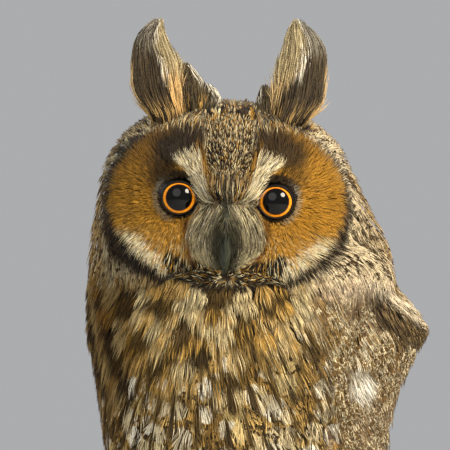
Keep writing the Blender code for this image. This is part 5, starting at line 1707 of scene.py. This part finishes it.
# Each lobe's stations: height over the eyes, distance from the head's middle, and half width
LEFT_TUFT = (
    (26.0, 20.5, 6.0), (30.0, 21.0, 7.0), (33.0, 22.4, 8.4), (36.0, 23.8, 9.2),
    (39.3, 24.5, 9.6), (45.0, 25.2, 9.2), (49.8, 25.6, 9.0), (55.0, 26.2, 8.2),
    (58.8, 25.9, 7.3), (61.5, 25.1, 6.1), (64.5, 24.3, 4.2), (66.8, 23.4, 1.6),
)
RIGHT_TUFT = (
    (26.0, 22.5, 6.0), (30.5, 23.2, 7.2), (36.0, 26.0, 9.0), (40.7, 27.5, 9.5), (45.0, 28.2, 9.2),
    (50.0, 28.8, 8.8), (55.8, 30.1, 6.8), (59.9, 30.6, 4.9), (63.0, 29.8, 3.3), (65.2, 28.3, 1.5),
)
RIGHT_INNER_LOBE = (
    (31.0, 13.5, 3.6), (38.0, 14.0, 4.8), (43.0, 14.9, 4.2), (46.5, 16.2, 2.8), (50.0, 17.4, 0.8),
)
RIGHT_LOW_LOBE = ((26.0, 12.0, 2.4), (32.0, 10.6, 4.8), (37.0, 9.6, 5.6), (40.5, 9.6, 3.8), (42.6, 10.2, 1.6))
LEFT_LOW_LOBE = (
    (26.0, 13.5, 3.2), (32.0, 13.4, 4.0), (37.0, 12.9, 3.6), (40.5, 12.4, 2.4), (43.0, 12.0, 0.8),
)
# Where a tuft's dark outer part meets its pale inner part: the share of its height, and the place
# across, from -1 outside to 1 inside
LEFT_SPLIT = ((0.1, 0.95), (0.35, 0.6), (0.5, 0.2), (0.7, -0.05), (0.9, -0.2))
RIGHT_SPLIT = ((0.1, 0.42), (0.4, 0.34), (0.6, 0.27), (0.75, 0.16), (0.9, 0.35))


def tuft_lines(stations, side, count):
    """Flow lines of a lobe, from side by side in its root along its bend towards its round top."""
    table = np.array(stations)
    across = chance.uniform(-1.0, 1.0, count)
    layer = chance.uniform(-1.0, 1.0, count)
    first = chance.random(count) ** 0.85 * 0.82
    span = chance.uniform(0.20, 0.36, count)
    t = np.linspace(0.0, 1.0, 4)[None, :]
    s = first[:, None] + span[:, None] * t
    s = np.minimum(s, 1.0 + chance.normal(-0.01, 0.02, (count, 1)))
    height = table[0, 0] + (table[-1, 0] - table[0, 0]) * s
    middle = np.interp(height, table[:, 0], table[:, 1])
    half = np.interp(height, table[:, 0], table[:, 2])
    wander = chance.normal(0.0, 0.35, (count, 1)) * t
    # Loose hairs curl away from the lower outer edge, and from the inner edge halfway up
    stray = chance.random((count, 1)) ** 4 * 4.5 * smoothstep(0.72, 1.0, np.abs(across))[:, None] * t**2
    outer, inner = smoothstep(0.55, 0.2, s), smoothstep(0.2, 0.4, s) * smoothstep(0.85, 0.6, s)
    stray = stray * np.where(across[:, None] < 0.0, outer, inner)
    x = side * (middle - across[:, None] * half - np.sign(across[:, None]) * stray) + wander
    thick = 3.6 * (1.0 - s) + 1.0
    y = 18.0 + 4.2 * s + 4.0 * s**2 + layer[:, None] * thick * np.sqrt(1.05 - across[:, None] ** 2)
    y = y + 1.6 * across[:, None] ** 2 + chance.normal(0.0, 0.35, (count, 1)) * t
    points = np.stack((x, y, height), -1)
    out = np.zeros_like(points)
    out[..., 1] = np.sign(layer + 0.15)[:, None]
    return points, out, across, s


def tuft_colours(inner, s, draw, other, split, golden):
    """Dark outside and pale inside with a torn edge between, buff hairs at the root and a grey top."""
    jag = 0.35 * (draw - 0.5)
    edge = inner - np.interp(s, *np.array(split).T) + jag
    dark = mixed("33291B", "5A4C36", draw + 0.0 * s)
    dark = mixed(dark, "2A2116", 0.6 * smoothstep(-0.5, -0.1, edge) * smoothstep(0.75, 0.5, s))
    low = mixed("C99A54", "E4C188", other + 0.0 * s)
    high = mixed("CDBD94", "8C7D5A", draw + 0.0 * s)
    pale = mixed(high, low, np.clip(smoothstep(0.62, 0.40, s + 0.2 * (other - 0.5)) * golden, 0.0, 1.0))
    pale = mixed(pale, "5B4A30", 0.8 * (other < 0.22) + 0.0 * s)
    colour = mixed(dark, pale, smoothstep(-0.06, 0.06, edge))
    torn = (1.0 - smoothstep(0.09, 0.16, np.abs(edge))) * smoothstep(0.40, 0.52, s) * (other > 0.35)
    colour = mixed(colour, "F1E9D4", torn * 0.9)
    rim = smoothstep(-0.90, -0.97, inner + 0.1 * jag) * smoothstep(0.70, 0.5, s)
    colour = mixed(colour, "D8B985", rim * 0.85)
    frost = smoothstep(0.66, 0.86, s + 0.15 * (other - 0.5)) * smoothstep(0.1, -0.1, edge) * (draw > 0.25)
    colour = mixed(colour, "9A9384", frost * 0.75)
    hairs = smoothstep(0.30, 0.12, s) * (other > 0.55)
    colour = mixed(colour, "C9A465", hairs * 0.8)
    return mixed(colour, "3A2D1C", 0.75 * smoothstep(0.16, 0.04, s) * (other < 0.6))


def lobe_colours(inner, s, draw, other):
    """A small lobe: dark, with white tips and a golden root."""
    colour = mixed("3A3021", "5E5138", draw + 0.0 * s)
    colour = mixed(colour, "C8A05A", smoothstep(0.45, 0.15, s) * (np.abs(inner) > 0.35) * (other > 0.3))
    white = smoothstep(0.85, 1.05, s + 0.35 * np.clip(inner, 0.0, 1.0) + 0.25 * (draw - 0.5))
    white = white * smoothstep(0.1, 0.4, inner)
    return mixed(colour, "EDE5D0", white * (other > 0.35))


def tuft_piece(name, lobes):
    """An ear tuft from its lobes, each with its stations, side, count, split and share of gold."""
    groups = []
    for stations, side, count, split, golden in lobes:
        points, out, across, s = tuft_lines(stations, side, count)
        draw, other = chance.random((count, 1)), chance.random((count, 1))
        inner = across[:, None] + 0.0 * s
        if split:
            colours = tuft_colours(inner, s, draw, other, split, golden)
        else:
            colours = lobe_colours(inner, s, draw, other)
        colours = colours * chance.uniform(0.86, 1.1, count)[:, None, None]
        groups.append((points, out, colours, s))
    points, out, colours, s = (np.concatenate([g[k] for g in groups]) for k in range(4))
    barbs = {"point": from_head(points), "out": out @ HEAD_TURN.T}
    flecks = np.concatenate((colours * 0.5, 0.30 + 0.0 * s[..., None]), -1)
    places = round_head(barbs["point"][:, 0])
    return strand_mesh(name, barbs, BARB_BREADTH["ear_tuft"], colours, flecks, places, soft_feather)


lobes = ((LEFT_TUFT, 1, 5700, LEFT_SPLIT, 0.5), (LEFT_LOW_LOBE, 1, 900, None, 0.0))
place_piece(tuft_piece("ear_tuft_feathers_left", lobes), "breast_coat", "ear_tuft_left")
lobes = (
    (RIGHT_TUFT, -1, 5700, RIGHT_SPLIT, 1.0),
    (RIGHT_INNER_LOBE, -1, 900, None, 0.0),
    (RIGHT_LOW_LOBE, -1, 900, None, 0.0),
)
place_piece(tuft_piece("ear_tuft_feathers_right", lobes), "breast_coat", "ear_tuft_right")


# Eyes: a wet ball with its cornea's bulge, painted with an orange iris round a black pupil, under a black rim
# of lid

def turned_rings(profile, segments):
    """Points turned round the -Y axis from (radius, forward) pairs in mm."""
    around = np.linspace(0.0, 2.0 * math.pi, segments + 1)[None, :-1]
    radius = np.array([p[0] for p in profile])[:, None]
    forward = np.array([p[1] for p in profile])[:, None]
    return np.stack((radius * np.cos(around), -forward + 0.0 * around, radius * np.sin(around)), -1)


def to_eye(points, side):
    """From the eye's own frame, looking along -Y, to the model's frame."""
    turn = np.array(Matrix.Rotation(math.radians(side * EYE_TURN), 3, "Z"))
    return from_head(points @ turn.T + np.array((side * EYE_APART, EYE_DEPTH, 0.0)))


EYE_TURN = 1.5
IRIS = 6.15
PUPIL = 4.85
# The cornea's bulge, and how wide it is
BULGE = 0.9
BULGE_RADIUS = 7.4
LID_OPENING = 5.95
# The lid's section: steps out from the opening, and its rise over the ball
LID_SECTION = (
    (0.0, 0.1), (0.06, 0.4), (0.2, 0.52), (0.4, 0.45), (0.7, 0.3),
    (1.0, 0.1), (1.3, -0.5), (1.8, -1.0), (2.8, -1.5),
)


def eye_material():
    """Wet eye: black pupil, orange iris with fine spokes, darker at its rim, under a clear film."""
    made, tree = new_material("orange_eye")
    grain = noise(tree, object_place(tree), 1400.0, 2.0)
    colour = toned(tree, painted(tree, "coat")[0], ranged(tree, grain, 0.3, 0.7, 0.8, 1.15))
    surface = {"Base Color": colour, "Roughness": 0.08, "Specular IOR Level": 0.16}
    set_surface(tree, surface | {"Coat Weight": 0.12, "Coat Roughness": 0.02})
    return made


def eye_piece(side, word):
    """The ball, with its cornea's bulge, painted as the iris is seen through it."""
    polar = np.concatenate((np.linspace(0.02, 0.95, 64), np.linspace(1.0, math.pi - 0.05, 24)))
    radius = EYE_RADIUS * np.sin(polar)
    bulge = BULGE * np.clip(1.0 - (radius / BULGE_RADIUS) ** 2, 0.0, 1.0) * (polar < 1.5)
    rings = turned_rings(list(zip(radius, EYE_RADIUS * np.cos(polar) + bulge)), 160)
    around = np.linspace(0.0, 2.0 * math.pi, 161)[None, :-1]
    wide = radius[:, None] + 0.0 * around
    front = (polar < 1.5)[:, None] & (wide < 9.4)
    spokes = 0.5 + 0.5 * np.sin(around * 61.0 + 1.3 * np.sin(around * 13.0)) * np.sin(around * 23.0 + 0.7)
    iris = mixed("E8780A", "FFB02E", np.clip(spokes * 0.7 + 0.2, 0.0, 1.0))
    iris = mixed(iris, "7A2F05", smoothstep(IRIS - 0.5, IRIS - 0.05, wide) * 0.7)
    iris = mixed(iris, "B24A06", smoothstep(PUPIL + 0.4, PUPIL + 0.05, wide) * 0.5)
    black = shade_of("060505")
    colour = mixed(black, iris, smoothstep(PUPIL - 0.06, PUPIL + 0.1, wide) * front)
    colour = mixed(colour, black, smoothstep(IRIS - 0.1, IRIS + 0.1, wide))
    points, faces = capped(rings)
    colours = np.vstack((colour.reshape(-1, 3), colour[:1, 0], colour[-1:, 0]))
    eye = merged(f"eye_ball_{word}", [(to_eye(points, side), faces)])
    paint(eye.data, "coat", colours)
    finish_smooth(eye, eye_finish)
    return eye


def bare_skin_material(name, colour, other, roughness):
    """Bare skin or scale: mottled in patches of half a millimetre, with fine creases."""
    made, tree = new_material(name)
    place = object_place(tree)
    patches = noise(tree, place, 700.0, 4.0)
    creases = add(tree, "TexVoronoi", {"feature": "DISTANCE_TO_EDGE", "Scale": 1500.0}, {"Vector": place})
    colour = blend(tree, patches, colour, other)
    surface = {"Base Color": colour, "Roughness": roughness, "Specular IOR Level": 0.2}
    set_surface(tree, surface | {"Normal": relief(tree, creases.outputs["Distance"], 0.25, 0.2)})
    return made


def horn_material(name, dark, light, polish=0.5):
    """Horn: near black, worn paler in long streaks, with a soft polish."""
    made, tree = new_material(name)
    streaks = noise(tree, scaled_place(tree, object_place(tree), (1.0, 1.0, 0.25)), 900.0, 3.0)
    colour = blend(tree, ranged(tree, streaks, 0.35, 0.75), dark, light)
    surface = {"Base Color": colour, "Roughness": ranged(tree, streaks, 0.0, 1.0, 0.34, 0.6)}
    set_surface(tree, surface | {"Specular IOR Level": polish, "Normal": relief(tree, streaks, 0.15, 0.2)})
    return made


eye_finish = eye_material()
lid_finish = bare_skin_material("lid_skin", shade_of("0B0907"), shade_of("191410"), 0.5)
horn_finish = horn_material("black_horn", shade_of("16161A"), shade_of("3B3A3A"))
bill_finish = horn_material("bill_horn", shade_of("1B1E16"), shade_of("3F4233"), 0.22)


def lid_piece(side, word):
    """Both lids as one black rim round the opening, thicker above, with a fold behind."""
    around = np.linspace(0.0, 2.0 * math.pi, 121)[None, :-1]
    step, rise = np.array(LID_SECTION).T[:, :, None]
    opening = LID_OPENING + 0.10 * np.cos(2.0 * around) - 0.45 * np.clip(np.sin(around), 0.0, 1.0) ** 2
    opening = opening + 0.5 * np.exp(-(((np.cos(around) * side + 1.0) / 0.05) ** 2))
    reach = opening + step * (0.52 + 0.50 * np.clip(np.sin(around), 0.0, 1.0) ** 2)
    polar = np.arcsin(np.clip(reach / (EYE_RADIUS + 0.6), 0.0, 0.999))
    bulge = BULGE * np.clip(1.0 - (reach / BULGE_RADIUS) ** 2, 0.0, 1.0)
    outer_radius = EYE_RADIUS + 0.15 + rise + bulge
    radius = outer_radius * np.sin(polar)
    forward = outer_radius * np.cos(polar)
    front = np.stack((radius * np.cos(around), -forward, radius * np.sin(around)), -1)
    inner_radius = EYE_RADIUS - 0.5
    under, depth = inner_radius * np.sin(polar), -inner_radius * np.cos(polar)
    back = np.stack((under * np.cos(around), depth, under * np.sin(around)), -1)
    rings = np.concatenate((front, back[::-1], front[:1]), 0)
    down = len(rings) - 1
    points = rings[:-1].reshape(-1, 3)
    faces = []
    for j in range(down):
        for i in range(120):
            k = (i + 1) % 120
            a, b = j * 120, (j + 1) % down * 120
            faces.append((a + i, a + k, b + k, b + i))
    lid = merged(f"lids_{word}", [(to_eye(points, side), faces)])
    return finish_smooth(lid, lid_finish)


for side, word in ((1, "left"), (-1, "right")):
    place_piece(eye_piece(side, word), "orange_eye", f"eye_{word}")
    place_piece(lid_piece(side, word), "black_horn")


# Bill and claws

def bill_piece():
    bill = merged("bill_horn_upper", [bill_shell()])
    return finish_smooth(bill, bill_finish)


def smooth_copy(name, node, finish, levels=2):
    """A rounded copy of a solid, with its loose triangles joined first."""
    copy = merged(name, [node_shell(node)])
    shape = bmesh.new()
    shape.from_mesh(copy.data)
    bmesh.ops.remove_doubles(shape, verts=shape.verts, dist=0.01 * MM)
    bmesh.ops.recalc_face_normals(shape, faces=shape.faces)
    shape.to_mesh(copy.data)
    shape.free()
    applied(copy, ("SUBSURF", {"levels": levels, "render_levels": levels}))
    return finish_smooth(copy, finish)


place_piece(bill_piece(), "black_horn", "bill_upper")
place_piece(smooth_copy("bill_horn_lower", "bill_lower", bill_finish), "black_horn", "bill_lower")
for word in ("left", "right"):
    for toe in ("inner", "middle", "outer", "hind"):
        claw = f"claw_{word}_{toe}"
        place_piece(smooth_copy(claw.replace("claw", "talon"), claw, horn_finish), "black_horn", claw)


# Legs and toes: short pale feathers down to the claws

def leg_lie(points):
    """Down the leg, then along each toe, away from the ankle and round the perch."""
    way = np.zeros_like(points)
    way[..., 2] = -1.0
    low = smoothstep(131.0, 124.0, points[..., 2])
    away = points[..., 1] - PERCH_AT[0]
    way[..., 1] = low * np.sign(away) * 1.2
    return unit(way)


# The branch's axis, back from the middle and up, its radius and half its length
PERCH_AT = (-4.0, 106.0)
PERCH_RADIUS = 16.0
PERCH_HALF = 78.0


def leg_spacing(points):
    """How far apart feathers are rooted on the legs and the toes."""
    height = points[:, 2]
    return np.where(height > 95.0, np.interp(height, (120.0, 132.0, 155.0), (1.15, 1.5, 2.2)), 1.15)


def leg_piece(word):
    """The short feathers of one leg and foot."""
    surface = Guide(f"leg_guide_{word}", (node_shell("leg_" + word), node_shell("foot_" + word)), 1.0, 4)
    roots, normals = surface.scatter(leg_spacing)
    roots = roots - normals * 0.9
    n = len(roots)
    length = np.interp(roots[:, 2], (118.0, 130.0, 160.0), (3.4, 5.0, 9.0)) * chance.uniform(0.85, 1.2, n)
    lines = centre_lines(surface, roots, normals, leg_lie, length, 4)
    bpy.data.objects.remove(surface.object)
    barbs = barbs_on(lines, length, length * 0.5, 4, 1.1, 0.3, reach=0.7, ragged=0.1, loose=0.12)
    index = barbs["index"]
    ground = mixed("DCCBA4", "EADFC6", chance.random(len(index))[:, None] + 0.0 * barbs["v"])
    colours = ground * chance.uniform(0.75, 1.05, len(index))[:, None, None]
    # Painted shade: each barb darker towards its root, under the barbs over it
    colours = colours * (0.7 + 0.3 * barbs["t"])[..., None]
    flecks = np.concatenate((BROWN + 0.0 * colours, 0.26 + 0.0 * barbs["v"][..., None]), -1)
    places = round_body(roots)[index]
    name = f"leg_feathers_{word}"
    return strand_mesh(name, barbs, BARB_BREADTH["leg"], colours, flecks, places, soft_feather)


for word in ("left", "right"):
    place_piece(leg_piece(word), "foot_down")


# Perch: a cut branch with furrowed bark and ringed ends

def bark_material():
    """Bark: grey-brown plates between dark furrows, with lichen in pale grey-green patches."""
    made, tree = new_material("oak_bark")
    place = object_place(tree)
    grain = noise(tree, place, 420.0, 6.0, Roughness=0.7)
    patches = noise(tree, place, 55.0, 7.0, Roughness=0.75)
    colour = toned(tree, painted(tree, "coat")[0], ranged(tree, grain, 0.3, 0.7, 0.65, 1.3))
    colour = blend(tree, ranged(tree, patches, 0.60, 0.64, high=0.75), colour, shade_of("9BA08A"))
    surface = {"Base Color": colour, "Roughness": 0.88, "Specular IOR Level": 0.25}
    set_surface(tree, surface | {"Normal": relief(tree, grain, 0.5, 0.6)})
    return made


def cut_wood_material():
    """Sawn end: pale wood with year rings round the branch's middle, rays and fine saw marks."""
    made, tree = new_material("cut_wood")
    place = object_place(tree)
    middle = {"Location": (0.0, -PERCH_AT[0] * MM, -PERCH_AT[1] * MM)}
    centred = add(tree, "Mapping", middle, {"Vector": place}).outputs[0]
    settings = {"wave_type": "RINGS", "rings_direction": "SPHERICAL", "Scale": 210.0, "Distortion": 2.4}
    settings |= {"Detail": 3.0, "Detail Scale": 90.0}
    flat = scaled_place(tree, centred, (0.0, 1.0, 1.0))
    rings = add(tree, "TexWave", settings, {"Vector": flat}).outputs["Fac"]
    grain = noise(tree, place, 900.0, 4.0)
    colour = blend(tree, rings, shade_of("BFA178"), shade_of("A07F55"))
    colour = toned(tree, colour, ranged(tree, grain, 0.3, 0.7, 0.8, 1.12))
    set_surface(tree, {"Base Color": colour, "Roughness": 0.75, "Normal": relief(tree, grain, 0.3, 0.3)})
    return made


def perch_piece():
    """The branch again, with plates and furrows of bark over the solid's own shape."""
    columns, around_count = 200, 140
    x = np.linspace(-PERCH_HALF, PERCH_HALF, columns)[:, None]
    around = np.linspace(0.0, 2.0 * math.pi, around_count + 1)[None, :-1]
    away = np.abs(x) / PERCH_HALF
    bark_line = 0.5 * np.sin(3.0 * around + x * 0.05) * np.cos(2.0 * around - x * 0.03)
    swell = 1.2 * smoothstep(0.55, 1.0, away) * np.sin(x * 0.09 + 1.0)
    field = np.zeros((columns, around_count))
    for _ in range(46):
        turns = chance.integers(3, 17)
        run = chance.uniform(-0.22, 0.22)
        field += np.sin(turns * around + run * x + chance.uniform(0.0, 6.28)) / 46.0**0.5
    furrow = 1.0 - smoothstep(0.0, 0.42, np.abs(field))
    # The bark stands a little proud between the toes, and no further in than the solid under them
    relief = 0.30 - 0.75 * furrow + chance.normal(0.0, 0.06, field.shape)
    relief = relief * smoothstep(1.0, 0.985, away)
    radius = PERCH_RADIUS + bark_line + swell + relief
    slant = smoothstep(70.0, PERCH_HALF, np.abs(x))
    px = x + 0.10 * radius * np.cos(around) * slant
    rings = np.stack((px, PERCH_AT[0] + radius * np.sin(around), PERCH_AT[1] + radius * np.cos(around)), -1)
    points, faces = capped(rings)
    perch = merged("perch_bark", [(points, faces)])
    colour = mixed("6E6152", "8C8070", chance.random(field.shape))
    # The furrows darker: partly the bark's own colour, partly painted shade in the recesses
    colour = mixed(colour, "2B231B", furrow * 0.9)
    paint(perch.data, "coat", np.vstack((colour.reshape(-1, 3), colour[:1, 0], colour[-1:, 0])))
    finish_smooth(perch, bark_material())
    perch.data.materials.append(cut_wood_material())
    for face in perch.data.polygons:
        if abs(face.normal.x) > 0.9 and abs(face.center.x) > 70.0 * MM:
            face.material_index = 1
            face.use_smooth = False
    return perch


place_piece(perch_piece(), "oak_bark", "perch")


# Stand: stained oak base and brushed steel rods

def oak_material():
    """Stained oak: long grain, open pores, and a satin finish."""
    made, tree = new_material("stained_oak")
    place = scaled_place(tree, object_place(tree), (1.0, 0.06, 1.0))
    bands = noise(tree, place, 90.0, 5.0, Distortion=0.6)
    pores = noise(tree, place, 900.0, 4.0, Roughness=0.7)
    colour = blend(tree, ranged(tree, bands, 0.35, 0.65), shade_of("3A2415"), shade_of("6B4527"))
    colour = toned(tree, colour, ranged(tree, pores, 0.36, 0.46, 0.45, 1.0))
    surface = {"Base Color": colour, "Roughness": ranged(tree, pores, 0.0, 1.0, 0.55, 0.32)}
    set_surface(tree, surface | {"Normal": relief(tree, pores, 0.2, 0.2)})
    return made


def steel_material():
    """Brushed steel: fine rings round the rods."""
    made, tree = new_material("brushed_steel")
    lines = noise(tree, scaled_place(tree, object_place(tree), (0.05, 0.05, 1.0)), 3000.0, 3.0)
    colour = blend(tree, lines, shade_of("8E9092"), shade_of("B9BABB"))
    surface = {"Base Color": colour, "Roughness": ranged(tree, lines, 0.0, 1.0, 0.22, 0.45), "Metallic": 1.0}
    set_surface(tree, surface | {"Normal": relief(tree, lines, 0.1, 0.1)})
    return made


def refinish(name, finish):
    mesh = nodes[name].data
    mesh.materials.clear()
    mesh.materials.append(finish)


refinish("stand_base", oak_material())
steel = steel_material()
for name in ("stand_rod_left", "stand_rod_right"):
    refinish(name, steel)


# Camera, light and floor


CAMERA_LENS = 439.0
CAMERA_DISTANCE = 2.003
CAMERA_TARGET = (9.65, -37.2, 318.7)


def place_camera():
    """The camera square on to the face, with the photograph's framing."""
    data = bpy.data.cameras.new("camera")
    data.sensor_width = 36.0
    data.lens = CAMERA_LENS
    camera = bpy.data.objects.new("camera", data)
    bpy.context.scene.collection.objects.link(camera)
    turn = math.radians(HEAD_YAW)
    back = Vector((math.sin(turn), -math.cos(turn), 0.0))
    camera.location = Vector(CAMERA_TARGET) * MM + back * CAMERA_DISTANCE
    camera.rotation_euler = (-back).to_track_quat("-Z", "Y").to_euler()
    data.clip_start, data.clip_end = 0.05, 50.0
    bpy.context.scene.camera = camera


def area_light(name, azimuth, elevation, distance, size, power, colour):
    data = bpy.data.lights.new(name, "AREA")
    data.shape = "DISK"
    data.size = size
    data.energy = power
    data.color = colour
    lamp = bpy.data.objects.new(name, data)
    bpy.context.scene.collection.objects.link(lamp)
    a, e = math.radians(azimuth), math.radians(elevation)
    back = Vector((math.sin(a) * math.cos(e), -math.cos(a) * math.cos(e), math.sin(e)))
    lamp.location = Vector((0.0, 0.0, 0.25)) + back * distance
    lamp.rotation_euler = (-back).to_track_quat("-Z", "Y").to_euler()


place_camera()
area_light("key", 70.0, 36.0, 1.4, 0.5, 30.0, (1.0, 0.90, 0.74))
area_light("front", 4.0, 30.0, 1.8, 1.4, 11.0, (1.0, 0.96, 0.89))
area_light("left", -75.0, 30.0, 1.6, 1.0, 2.0, (0.95, 0.97, 1.0))
area_light("back", 190.0, 45.0, 1.6, 1.0, 9.0, (1.0, 0.98, 0.95))

world = bpy.data.worlds.new("studio")
bpy.context.scene.world = world
world.use_nodes = True
world.node_tree.nodes["Background"].inputs["Color"].default_value = (0.82, 0.83, 0.85, 1.0)
world.node_tree.nodes["Background"].inputs["Strength"].default_value = 0.5
bpy.context.scene.view_settings.view_transform = "Standard"

bpy.ops.object.select_all(action="DESELECT")
bpy.ops.mesh.primitive_plane_add(size=6.0)
floor = bpy.context.active_object
floor.name = "floor"
pale, tree = new_material("pale_floor")
set_surface(tree, {"Base Color": (0.70, 0.70, 0.69, 1.0), "Roughness": 0.9})
floor.data.materials.append(pale)
